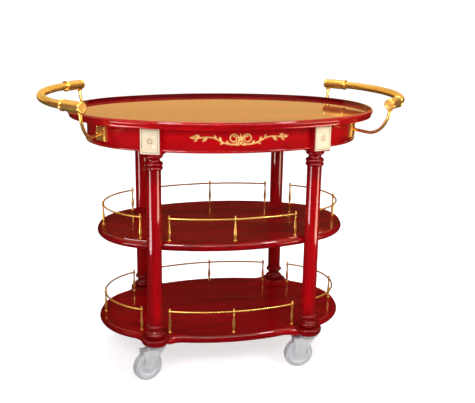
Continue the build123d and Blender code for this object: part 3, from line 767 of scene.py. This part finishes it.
def scrollHalf(shape, put):
    start = (scroll["voluteCentre"], -scroll["voluteRadius"])
    volute = [(*start, math.pi)]
    radius = scroll["voluteRadius"]
    for k in range(scroll["voluteHalfTurns"]):
        volute += onward(volute, radius, -180.0, 18)
        radius *= scroll["voluteShrink"]
    addRibbon(shape, buttonRings(*volute[-1][:2], *scroll["eye"]), put)
    stem = [(*start, 0.0)]
    for stretch in ("rise", "fall", "flick"):
        stem += onward(stem, *scroll[stretch], 20)
    # one ribbon, from the volute's eye outwards and on along the stem
    unwound = [(x, z, angle - math.pi) for x, z, angle in reversed(volute)]
    coil = stemRings(unwound, scroll["stemTip"], scroll["stemHalf"], scroll["stemHeight"])
    branch = stemRings(stem, scroll["stemHalf"], scroll["stemTip"], scroll["stemHeight"])
    addRibbon(shape, coil + branch[1:], put)
    for share, side, size in scroll["sprays"]:
        x, z, angle = stem[int(share * (len(stem) - 1))]
        heading = math.degrees(angle) + side * scroll["leafSpread"]
        length = scroll["leafLength"] * size
        half = scroll["leafHalf"] * size
        curl = -scroll["leafCurl"] * side
        leaf = leafRings((x, z), heading, length, half, scroll["leafHeight"], curl, scroll["leafLobes"])
        addRibbon(shape, leaf, put)
    addRibbon(shape, leafRings(*scroll["palmetteSide"]), put)
    addRibbon(shape, leafRings(*scroll["calyx"]), put)


def layScroll(name, sideY, node):
    def put(x, z, rise):
        return onApron(x, z, rise, sideY)

    shape = Shape()
    scrollHalf(shape, lambda x, z, rise: put(-x, z, rise))
    scrollHalf(shape, put)
    addRibbon(shape, leafRings(*scroll["palmette"]), put)
    addRibbon(shape, buttonRings(*scroll["knob"]), put)
    makePiece(name, shape, scrollGilt, "cart", [node])


layScroll("scrollRelief_front", -1, "scroll_front")
layScroll("scrollRelief_back", 1, "scroll_back")
print("scrolls laid on the apron")


# turned gallery posts, finer than their solids; sizes in millimetres
post = {"rail": 68.25, "ball": 4.75, "top": 78.55, "knob": 2.95, "segments": 28, "apart": 15.0}


def bead(low, high, radius, bulge, steps=6):
    # a rounded ring between two distances along a profile
    line = []
    for k in range(steps + 1):
        swelling = radius + bulge * math.sin(math.pi * k / steps)
        line.append((swelling, low + (high - low) * k / steps))
    return line


def swell(points, steps=10):
    # eased turning between a few (radius, height) stations
    line = []
    for (r0, z0), (r1, z1) in zip(points, points[1:]):
        for k in range(steps):
            t = k / steps
            ease = (1 - math.cos(math.pi * t)) / 2
            line.append((r0 + (r1 - r0) * ease, z0 + (z1 - z0) * t))
    return line + [points[-1]]


def ballArc(centre, radius, low, high, steps=10):
    line = []
    first = math.asin(max(-1.0, (low - centre) / radius))
    last = math.asin(min(1.0, (high - centre) / radius))
    for k in range(steps + 1):
        turn = first + (last - first) * k / steps
        line.append((max(tip, radius * math.cos(turn)), centre + radius * math.sin(turn)))
    return line


def postProfile():
    rail = post["rail"]
    top = post["top"]
    knob = post["knob"]
    # foot, vase, neck rings, cup, ball round the rail, collar and knob
    profile = [(tip, 0.0)] + bead(0.0, 2.2, 4.9, 0.6) + bead(2.4, 4.2, 3.3, 1.0)
    profile += swell([(2.5, 4.6), (4.6, 21.0), (2.3, rail - 12.4)])
    profile += bead(rail - 12.0, rail - 9.8, 2.5, 1.2) + bead(rail - 9.6, rail - 8.4, 2.4, 0.5)
    profile += swell([(2.3, rail - 8.0), (3.1, rail - 4.1)], 5)
    profile += ballArc(rail, post["ball"], rail - 3.6, rail + 3.9)
    profile += bead(rail + 4.1, rail + 5.2, 2.6, 0.6, 4)
    return profile + ballArc(top - knob, knob, rail + 5.5, top)


def standPoints(name, apart):
    # middles of the separate solids of a node, seen in plan
    heaps = []
    for vertex in nodes[name].data.vertices:
        spot = Vector((vertex.co.x, vertex.co.y))
        for heap in heaps:
            if (heap[0] - spot).length < apart * mm:
                heap.append(spot)
                break
        else:
            heaps.append([spot])
    spots = []
    for heap in heaps:
        xs = [spot.x for spot in heap]
        ys = [spot.y for spot in heap]
        spots.append(((min(xs) + max(xs)) / 2, (min(ys) + max(ys)) / 2))
    return spots


def turnPosts(tier):
    node = tier + "_gallery_posts"
    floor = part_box(node)[0].z
    shape = Shape()
    spots = standPoints(node, post["apart"])
    for x, y in spots:
        shape.turned(Vector((x, y, floor)), upward, postProfile(), post["segments"])
    makePiece(tier + "GalleryPosts", shape, giltBrass, "cart", [node])
    print(tier, "gallery:", len(spots), "posts turned")


turnPosts("middle")
turnPosts("bottom")


# bow handles: plain tube, turned sleeves, J-shaped arms on moulded plates; sizes in millimetres
handle = {
    "tube": 12.0,
    "reach": 555.9,
    "sleeveEnd": (434.0, 296.0),
    "angle": 50.0,
    "bendRadius": 200.0,
    "sleeve": 16.0,
    "sleeveLength": 84.0,
    "tubeInSleeve": 40.0,
    "ring": 17.5,
    "segments": 44,
    "crease": 32.0,
}
bracket = {
    "normal": 35.0,
    "width": 44.0,
    "height": 47.0,
    "depth": 9.0,
    "bevel": 5.0,
    "bevelDepth": 3.4,
    # groove inside the bevel: distance, half width and depth
    "groove": (1.4, 1.2, 0.9),
    "cell": 1.0,
    "boss": 9.0,
    "bossSides": 36,
    "arm": 4.75,
    "armRise": 90.0,
    "armShort": 4.0,
    "armSides": 28,
    "fromSleeveEnd": 12.0,
    "collarDrop": 5.0,
    "collarSides": 32,
}
brassLevel = sum(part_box("handle_right"), Vector()).z / 2


def sleeveAxis():
    turn = math.radians(handle["angle"])
    return Vector((math.cos(turn), -math.sin(turn), 0.0))


def bowPath():
    # plan of the right handle's tube, from inside the back sleeve to inside the front one
    axis = sleeveAxis()
    mouth = Vector((*handle["sleeveEnd"], 0.0)) + axis * handle["sleeveLength"]
    start = mouth - axis * handle["tubeInSleeve"]
    angle = math.radians(handle["angle"])
    radius = handle["bendRadius"]
    bendX = mouth.x - radius * math.sin(angle)
    bendY = mouth.y - radius * math.cos(angle)
    back = bendX - handle["reach"]
    bow = (radius**2 - back**2 - bendY**2) / (2 * (back + radius))
    half = math.degrees(math.asin(bendY / (bow - radius)))
    turn = 90.0 - handle["angle"] - half
    path = [(start.x, start.y, -angle)]
    path += bend((mouth.x, mouth.y), -handle["angle"], radius, -turn, 12)
    path += onward(path, bow, -2 * half, 40)
    path += onward(path, radius, -turn, 12)
    return path + [(start.x, -start.y, angle - math.pi)]


def sleeveProfile():
    full = handle["sleeve"]
    length = handle["sleeveLength"]
    # shallow end, rounded shoulder, bead, swelling body, bead and mouth ring
    profile = [(tip, 0.9), (8.6, 0.9), (9.2, 0.3), (full - 3.4, 0.0)]
    profile += [(full - 3.4 + 3.0 * math.sin(t), 3.0 - 3.0 * math.cos(t)) for t in (0.4, 0.8, 1.2, 1.57)]
    profile += bead(4.2, 7.2, full - 0.6, 0.8) + [(full - 0.7, 8.0)]
    profile += swell([(full - 0.7, 8.4), (full, length * 0.5), (full - 0.5, length - 8.4)], 8)
    profile += bead(length - 8.0, length - 6.2, full - 0.4, 0.7) + [(full - 0.3, length - 5.6)]
    profile += bead(length - 5.2, length, handle["ring"] - 1.2, 1.2, 8)
    return profile + [(handle["tube"] - 0.3, length)]


def makeHandle(side, sideX):
    def put(x, y, lift):
        return Vector((sideX * x * mm, y * mm, brassLevel + lift * mm))

    tube = Shape()
    tube.rod(bowPath(), handle["tube"], put, handle["segments"])
    makePiece("handleTube_" + side, tube, giltBrass, "cart", ["handle_" + side])
    sleeves = Shape()
    axis = sleeveAxis()
    endX, endY = handle["sleeveEnd"]
    for sideY in (-1, 1):
        along = Vector((sideX * axis.x, sideY * axis.y, 0.0))
        sleeves.turned(put(endX, sideY * endY, 0.0), along, sleeveProfile(), handle["segments"])
    node = "handle_" + side + "_sleeves"
    makePiece("handleSleeves_" + side, sleeves, giltBrass, "cart", [node], handle["crease"])


def plateDepth(u, v):
    # the front swells between sunk bevels
    edge = min(bracket["width"] / 2 - abs(u), bracket["height"] / 2 - abs(v))
    inside, wide, deep = bracket["groove"]
    depth = bracket["depth"] - bracket["bevelDepth"] * (1.0 - min(1.0, edge / bracket["bevel"])) ** 2
    return depth - deep * dome(edge - bracket["bevel"] - inside, wide)


def bracketPlate(shape, spot, right, out):
    # the back lies on the curved apron
    across = 2 * apronFace["endRadius"]
    front = plateRows(bracket, lambda u, v: onFace(spot, right, out, u, v, plateDepth(u, v)))
    back = plateRows(bracket, lambda u, v: onFace(spot, right, out, u, v, -(u**2) / across))
    shape.band(shape.sheet(front), shape.sheet(back))


def bossProfile():
    # washer, bead and button on the front of the plate
    depth = bracket["depth"]
    boss = bracket["boss"]
    profile = [(tip, depth - 2.0), (boss, depth - 2.0), (boss, depth - 0.6)]
    profile += bead(depth - 0.4, depth + 1.6, boss - 1.0, 0.9) + [(7.2, depth + 1.9)]
    turns = (0.2, 0.5, 0.8, 1.1, 1.35, 1.56)
    return profile + [(7.0 * math.cos(t), depth + 2.0 + 4.0 * math.sin(t)) for t in turns]


def makeBracket(corner, sideX, sideY):
    out, right = faceAxes(bracket["normal"], sideX, sideY)
    centre = apronFace["halfLength"] - apronFace["endRadius"]
    middle = Vector((sideX * centre * mm, 0.0, apronFace["middle"] * mm))
    spot = middle + out * (apronFace["endRadius"] * mm)
    shape = Shape()
    bracketPlate(shape, spot, right, out)
    shape.turned(spot, out, bossProfile(), bracket["bossSides"])
    # arm from the plate, out and then up to the sleeve
    top = Vector((*handle["sleeveEnd"], 0.0)) + sleeveAxis() * bracket["fromSleeveEnd"]
    foot = spot + out * (bracket["depth"] * mm / 2)
    flat = Vector((sideX * top.x * mm, sideY * top.y * mm, foot.z)) - foot
    ahead = flat.normalized()
    beside = ahead.cross(upward)
    run = flat.length / mm - bracket["armRise"]
    rise = (brassLevel - foot.z) / mm
    path = [(0.0, 0.0, 0.0)] + bend((run, 0.0), 0.0, bracket["armRise"], 90.0, 30)
    path.append((path[-1][0], rise - bracket["armShort"], math.pi / 2))

    def put(a, b, lift):
        return foot + (ahead * a + upward * b + beside * lift) * mm

    shape.rod(path, bracket["arm"], put, bracket["armSides"])
    # collar under the sleeve
    collar = bead(0.0, 3.0, 5.6, 1.2) + bead(3.2, 6.0, 6.4, 1.6) + [(6.6, 8.0)]
    drop = handle["sleeve"] + bracket["collarDrop"]
    seat = Vector((sideX * top.x * mm, sideY * top.y * mm, brassLevel - drop * mm))
    shape.turned(seat, upward, [(tip, 0.0)] + collar, bracket["collarSides"])
    node = "handle_bracket_" + corner
    makePiece("handleBracket_" + corner, shape, giltBrass, "cart", [node], handle["crease"])


makeHandle("left", -1)
makeHandle("right", 1)
for corner, (sideX, sideY) in corners.items():
    makeBracket(corner, sideX, sideY)
print("handles and brackets fitted")


# slotted heads of the bracket screws
screw = {
    "radius": 4.0,
    "tip": 0.01,
    "rise": 2.0,
    "slotHalf": 0.55,
    "slotDepth": 1.0,
    "sides": 48,
    "rings": 14,
    "crease": 30.0,
}


def screwHead(shape, place, right, out):
    rows = []
    for k in range(screw["rings"] + 1):
        share = 1 - k / screw["rings"]
        reach = max(screw["tip"], screw["radius"] * share)
        row = []
        for j in range(screw["sides"]):
            angle = 2 * math.pi * j / screw["sides"]
            u = reach * math.cos(angle)
            v = reach * math.sin(angle)
            lift = screw["rise"] * math.sqrt(max(0.0, 1 - share**2.4))
            if abs(u - v) < screw["slotHalf"] * math.sqrt(2):
                lift = min(lift, screw["slotDepth"])
            row.append(onFace(place, right, out, u, v, lift))
        rows.append(row)
    shape.tube(rows)


def setScrews():
    shape = Shape()
    points = [vertex.co for vertex in nodes["bracket_screws"].data.vertices]
    for sideX, sideY in corners.values():
        out, right = faceAxes(bracket["normal"], sideX, sideY)
        mine = [point for point in points if point.x * sideX > 0 and point.y * sideY > 0]
        top = max(point.dot(out) for point in mine)
        level = (min(point.z for point in mine) + max(point.z for point in mine)) / 2
        reach = [point.dot(right) for point in mine]
        middle = (min(reach) + max(reach)) / 2
        # two screws to a plate, one on each side of its middle
        for group in ([r for r in reach if r < middle], [r for r in reach if r > middle]):
            beside = right * ((min(group) + max(group)) / 2)
            screwHead(shape, out * (top - screw["rise"] * mm) + beside + upward * level, right, out)
    node = "bracket_screws"
    makePiece("bracketScrewHeads", shape, giltBrass, "cart", [node], screw["crease"])


setScrews()
print("bracket screws set")


# casters: grooved tyre, ringed core and nutted axle; sizes in millimetres along and off the axle
caster = {
    "radius": 45.0,
    "half": 13.5,
    "shoulder": 7.0,
    "shoulderSteps": 8,
    "inner": 34.0,
    "innerChamfer": 0.4,
    # groove in each side of the tyre: radius and depth
    "sideGroove": ((35.4, 0.0), (35.7, 0.5), (36.3, 0.5), (36.6, 0.0)),
    # two grooves in the tread: distance from the middle, half width and depth
    "treadGroove": (3.4, 0.8, 1.3),
    # outer half of the core: radius and distance
    "core": (
        (4.05, 14.7), (7.6, 14.7), (8.1, 14.2), (11.2, 14.2), (12.0, 13.4), (12.0, 6.2), (12.6, 5.3),
        (13.8, 5.0), (19.4, 5.0), (20.0, 5.9), (21.8, 5.9), (22.4, 5.0), (27.2, 5.0), (28.5, 5.3),
        (29.0, 6.2), (29.0, 11.2), (29.8, 12.0), (33.2, 12.0), (34.0, 11.2),
    ),
    "segments": 96,
    "axle": 4.0,
    "axleEnd": 20.5,
    "axleChamfer": 0.8,
    "axleSides": 40,
    "washer": 7.0,
    "washerThick": 0.5,
    "nut": 6.6,
    "nutSeat": 17.5,
    "nutTop": 20.0,
    "crease": 28.0,
}


def mirrored(half):
    # a profile and its mirror image about the wheel's middle plane
    return list(half) + [(radius, -along) for radius, along in reversed(half)]


def tyreProfile():
    radius = caster["radius"]
    half = caster["half"]
    shoulder = caster["shoulder"]
    steps = caster["shoulderSteps"]
    inner = caster["inner"]
    chamfer = caster["innerChamfer"]
    middle, wide, deep = caster["treadGroove"]
    side = [(inner, half - chamfer), (inner + chamfer, half)]
    side += [(reach, half - sunk) for reach, sunk in caster["sideGroove"]]
    for k in range(steps + 1):
        turn = 0.5 * math.pi * k / steps
        side.append((radius - shoulder * (1 - math.sin(turn)), half - shoulder * (1 - math.cos(turn))))
    side += [(radius, middle + wide), (radius - deep, middle + wide * 0.6)]
    side += [(radius - deep, middle - wide * 0.6), (radius, middle - wide)]
    return mirrored(side)


def addAxle(shape, centre, axis):
    # chamfered shaft, with a washer and a hexagon nut at each end
    end = caster["axleEnd"]
    radius = caster["axle"]
    chamfer = caster["axleChamfer"]
    sides = caster["axleSides"]
    shaft = [(tip, -end), (radius - chamfer, -end), (radius, chamfer - end)]
    shaft += [(radius, end - chamfer), (radius - chamfer, end), (tip, end)]
    shape.turned(centre, axis, shaft, sides)
    seat = caster["nutSeat"]
    over = seat + caster["washerThick"]
    washer = [(tip, seat), (caster["washer"], seat), (caster["washer"], over), (tip, over)]
    low = over - 0.1  # the nut sinks a little into the washer
    top = caster["nutTop"]
    wide = caster["nut"]
    nut = [(tip, low), (wide, low), (wide, top - 0.4), (wide - 0.7, top), (tip, top)]
    for way in (-1, 1):
        shape.turned(centre, axis * way, washer, sides)
        shape.turned(centre, axis * way, nut, 6)


def makeCaster(corner, spin):
    centre = Vector(spin["pos_m"])
    axis = Vector(spin["axis"]).normalized()
    wheel = "wheel_" + corner
    crease = caster["crease"]
    tyre = Shape()
    tyre.hoop(centre, axis, tyreProfile(), caster["segments"])
    makePiece("casterTyre_" + corner, tyre, tyreGrey, wheel, ["wheel_tyre_" + corner], crease)
    core = Shape()
    core.hoop(centre, axis, mirrored(caster["core"]), caster["segments"])
    makePiece("casterCore_" + corner, core, coreGrey, wheel, ["wheel_core_" + corner], crease)
    axle = Shape()
    addAxle(axle, centre, axis)
    fork = "swivel_" + corner
    node = "caster_axle_" + corner
    makePiece("casterAxle_" + corner, axle, brightZinc, fork, [node], crease)


joints = {joint["name"]: joint for joint in frame["joints"]}
for corner in corners:
    makeCaster(corner, joints["wheel_spin_" + corner])
print("casters fitted")


# camera where the photograph was taken from
view = {
    "place": (-0.4355, -2.3392, 1.1214),
    "yaw": 11.8,
    "pitch": 14.8,
    "roll": 1.0,
    "focalPixels": 753.4,
    "framePixels": 475,
    "sensor": 36.0,
}


def setCamera():
    yaw = math.radians(view["yaw"])
    pitch = math.radians(view["pitch"])
    roll = math.radians(view["roll"])
    ahead = Vector((math.sin(yaw) * math.cos(pitch), math.cos(yaw) * math.cos(pitch), -math.sin(pitch)))
    right = Vector((math.cos(yaw), -math.sin(yaw), 0.0))
    up = right.cross(ahead)
    tiltedRight = right * math.cos(roll) + up * math.sin(roll)
    tiltedUp = up * math.cos(roll) - right * math.sin(roll)
    data = bpy.data.cameras.new("camera")
    data.sensor_width = view["sensor"]
    data.lens = view["focalPixels"] / view["framePixels"] * view["sensor"]
    data.clip_end = 100.0
    camera = bpy.data.objects.new("camera", data)
    turn = Matrix((tiltedRight, tiltedUp, -ahead)).transposed()
    camera.matrix_world = Matrix.Translation(view["place"]) @ turn.to_4x4()
    bpy.context.scene.collection.objects.link(camera)
    bpy.context.scene.camera = camera


setCamera()

# studio: white world and floor, soft boxes, and coloured flags that only reflections see
softBoxes = {
    "keyBox": {"place": (-0.55, -1.25, 1.08), "aim": (0, -0.28, 0.74), "size": (1.1, 0.5), "power": 9.0},
    "fillBox": {"place": (0.8, -1.15, 1.08), "aim": (0.2, -0.26, 0.74), "size": (0.9, 0.5), "power": 8.0},
    "backBox": {"place": (0.4, 2.4, 1.3), "aim": (0, 0.2, 0.6), "size": (1.6, 0.8), "power": 20.0},
    "topBox": {"place": (0.2, 0.2, 2.9), "aim": (0, 0, 0.6), "size": (1.8, 1.2), "power": 34.0},
    "leftSpark": {"place": (-1.1, -1.9, 2.1), "aim": (0, 0, 0.6), "size": (0.5, 0.5), "power": 26.0},
    "rightSpark": {"place": (1.3, -1.7, 2.0), "aim": (0, 0, 0.6), "size": (0.4, 0.5), "power": 20.0},
    "edgeStrip": {"place": (-0.2, -2.9, 1.9), "aim": (0, 0, 0.6), "size": (3.6, 0.14), "power": 32.0},
}
# boxes that no reflection shows, and boxes that only reflections show
mattOnly = ("keyBox", "fillBox", "backBox")
glossOnly = ("leftSpark", "rightSpark", "edgeStrip")
# bright strips low on the floor, seen only as gleams down the legs
shineCards = {
    "leftShine": {
        "place": (-2.18, -1.185, 0.01),
        "towards": (-0.906, -0.423),
        "size": (2.0, 0.9),
        "power": 68.0,
        "colour": (1.0, 0.92, 0.92),
    },
    "rightShine": {
        "place": (2.12, -1.45, 0.01),
        "towards": (0.866, -0.5),
        "size": (2.0, 1.1),
        "power": 72.0,
        "colour": (1.0, 0.80, 0.58),
    },
}
# flags: width and height, and the paint that gloss shows of them
flags = {
    "flagOver": {"place": (0.0, 0.0, 3.4), "aim": (0, 0, 0), "size": (9.0, 9.0), "paint": "tan"},
    "flagOnFloor": {"place": (0.0, 0.0, 0.002), "aim": (0, 0, -1.0), "size": (9.0, 9.0), "paint": "dark"},
    "flagBehindShelves": {
        "place": (0.0, 0.75, 0.42),
        "aim": (0, 0, 0.42),
        "size": (2.6, 0.66),
        "paint": "dark",
    },
    "warmCard": {"place": (0.0, 0.75, 0.93), "aim": (0, 0, 0.93), "size": (2.6, 0.3), "paint": "warm"},
}
# and a wall of flags on all four sides: distance, height of its middle, size and paint
wallFlags = {"flag": (4.5, 1.25, (9.0, 2.5), "brown"), "high": (4.4, 2.95, (8.8, 0.95), "honey")}
for side, (x, y) in {"Front": (0, -1), "Back": (0, 1), "Left": (-1, 0), "Right": (1, 0)}.items():
    for kind, (distance, level, size, paint) in wallFlags.items():
        place = (x * distance, y * distance, level)
        flags[kind + side] = {"place": place, "aim": (0, 0, level), "size": size, "paint": paint}
flagPaint = {
    "dark": rgb(0.05, 0.018, 0.008),
    "brown": rgb(0.15, 0.032, 0.018),
    "honey": rgb(0.75, 0.55, 0.28),
    "tan": rgb(0.95, 0.78, 0.45),
    "warm": rgb(1.0, 0.68, 0.2),
}
worldLight = {"diffuse": 0.16, "shown": 1.0}
floorLift = {"near": 0.68, "far": 0.9, "from": 1.2, "to": 4.0}
floorSize = 30.0


def facing(place, aim):
    return (Vector(place) - Vector(aim)).to_track_quat("Z", "Y")


def setLight(name, item):
    data = bpy.data.lights.new(name, "AREA")
    data.shape = "RECTANGLE"
    data.size, data.size_y = item["size"]
    data.energy = item["power"]
    lamp = bpy.data.objects.new(name, data)
    lamp.location = item["place"]
    lamp.rotation_mode = "QUATERNION"
    lamp.rotation_quaternion = facing(item["place"], item["aim"])
    lamp.visible_camera = False
    bpy.context.scene.collection.objects.link(lamp)
    return lamp


def setLights():
    for name, item in softBoxes.items():
        lamp = setLight(name, item)
        lamp.visible_glossy = name not in mattOnly
        lamp.visible_diffuse = name not in glossOnly
    for name, item in shineCards.items():
        below = (item["place"][0], item["place"][1], -1.0)
        card = setLight(name, {**item, "aim": below})
        along = math.atan2(item["towards"][1], item["towards"][0])
        card.rotation_quaternion = Matrix.Rotation(along, 3, "Z").to_quaternion() @ Quaternion((0, 1, 0, 0))
        card.data.color = item["colour"]
        card.visible_diffuse = False


def flatSheet(name, size, finish):
    half = (size[0] / 2, size[1] / 2)
    mesh = bpy.data.meshes.new(name)
    edge = [(-half[0], -half[1], 0), (half[0], -half[1], 0), (half[0], half[1], 0), (-half[0], half[1], 0)]
    mesh.from_pydata(edge, [], [(0, 1, 2, 3)])
    mesh.materials.append(finish)
    sheet = bpy.data.objects.new(name, mesh)
    bpy.context.scene.collection.objects.link(sheet)
    return sheet


def shownRay(finish):
    # 1 for what the camera sees directly, in a reflection or through glass
    path = finish.add("ShaderNodeLightPath", {}, {}, "Is Camera Ray")
    return path.larger(path.other("Is Glossy Ray")).larger(path.other("Is Transmission Ray"))


def flagFinish(name, colour):
    finish = Finish(name)
    paint = finish.add("ShaderNodeEmission", {}, {"Color": colour, "Strength": 1.0})
    finish.add("ShaderNodeOutputMaterial", {}, {"Surface": paint})
    # found by reflections alone, so lamps get all the light samples
    finish.material.cycles.emission_sampling = "NONE"
    return finish.material


def setStage():
    floorPaint = Finish("paleFloor")
    matt = floorPaint.add("ShaderNodeBsdfDiffuse", {}, {"Color": rgb(0.9, 0.9, 0.9)})
    x = floorPaint.place()
    distance = (x * x + x.other("Y") ** 2.0) ** 0.5
    far = distance.rise(floorLift["from"], floorLift["to"])
    share = shownRay(floorPaint) * (floorLift["near"] + far * (floorLift["far"] - floorLift["near"]))
    glow = floorPaint.blend(rgb(0, 0, 0), rgb(1, 1, 1), share)
    lift = floorPaint.add("ShaderNodeEmission", {}, {"Color": glow, "Strength": 1.0})
    both = floorPaint.add("ShaderNodeAddShader", {}, {0: matt, 1: lift})
    floorPaint.add("ShaderNodeOutputMaterial", {}, {"Surface": both})
    floorPaint.material.cycles.emission_sampling = "NONE"
    flatSheet("floor", (floorSize, floorSize), floorPaint.material)

    paints = {key: flagFinish(key + "Flag", colour) for key, colour in flagPaint.items()}
    for name, item in flags.items():
        card = flatSheet(name, item["size"], paints[item["paint"]])
        card.location = item["place"]
        card.rotation_mode = "QUATERNION"
        card.rotation_quaternion = facing(item["place"], item["aim"])
        card.visible_camera = False
        card.visible_diffuse = False
        card.visible_transmission = False
        card.visible_shadow = False

    world = bpy.data.worlds.new("studio")
    bpy.context.scene.world = world
    sky = Finish("studio", world)
    soft = sky.add("ShaderNodeBackground", {}, {"Color": rgb(1, 1, 1), "Strength": worldLight["diffuse"]})
    white = sky.add("ShaderNodeBackground", {}, {"Color": rgb(1, 1, 1), "Strength": worldLight["shown"]})
    mixed = sky.add("ShaderNodeMixShader", {}, {0: shownRay(sky), 1: soft, 2: white})
    sky.add("ShaderNodeOutputWorld", {}, {"Surface": mixed})


setLights()
setStage()
bpy.context.scene.view_settings.view_transform = "Standard"
print("camera, lights and stage set")
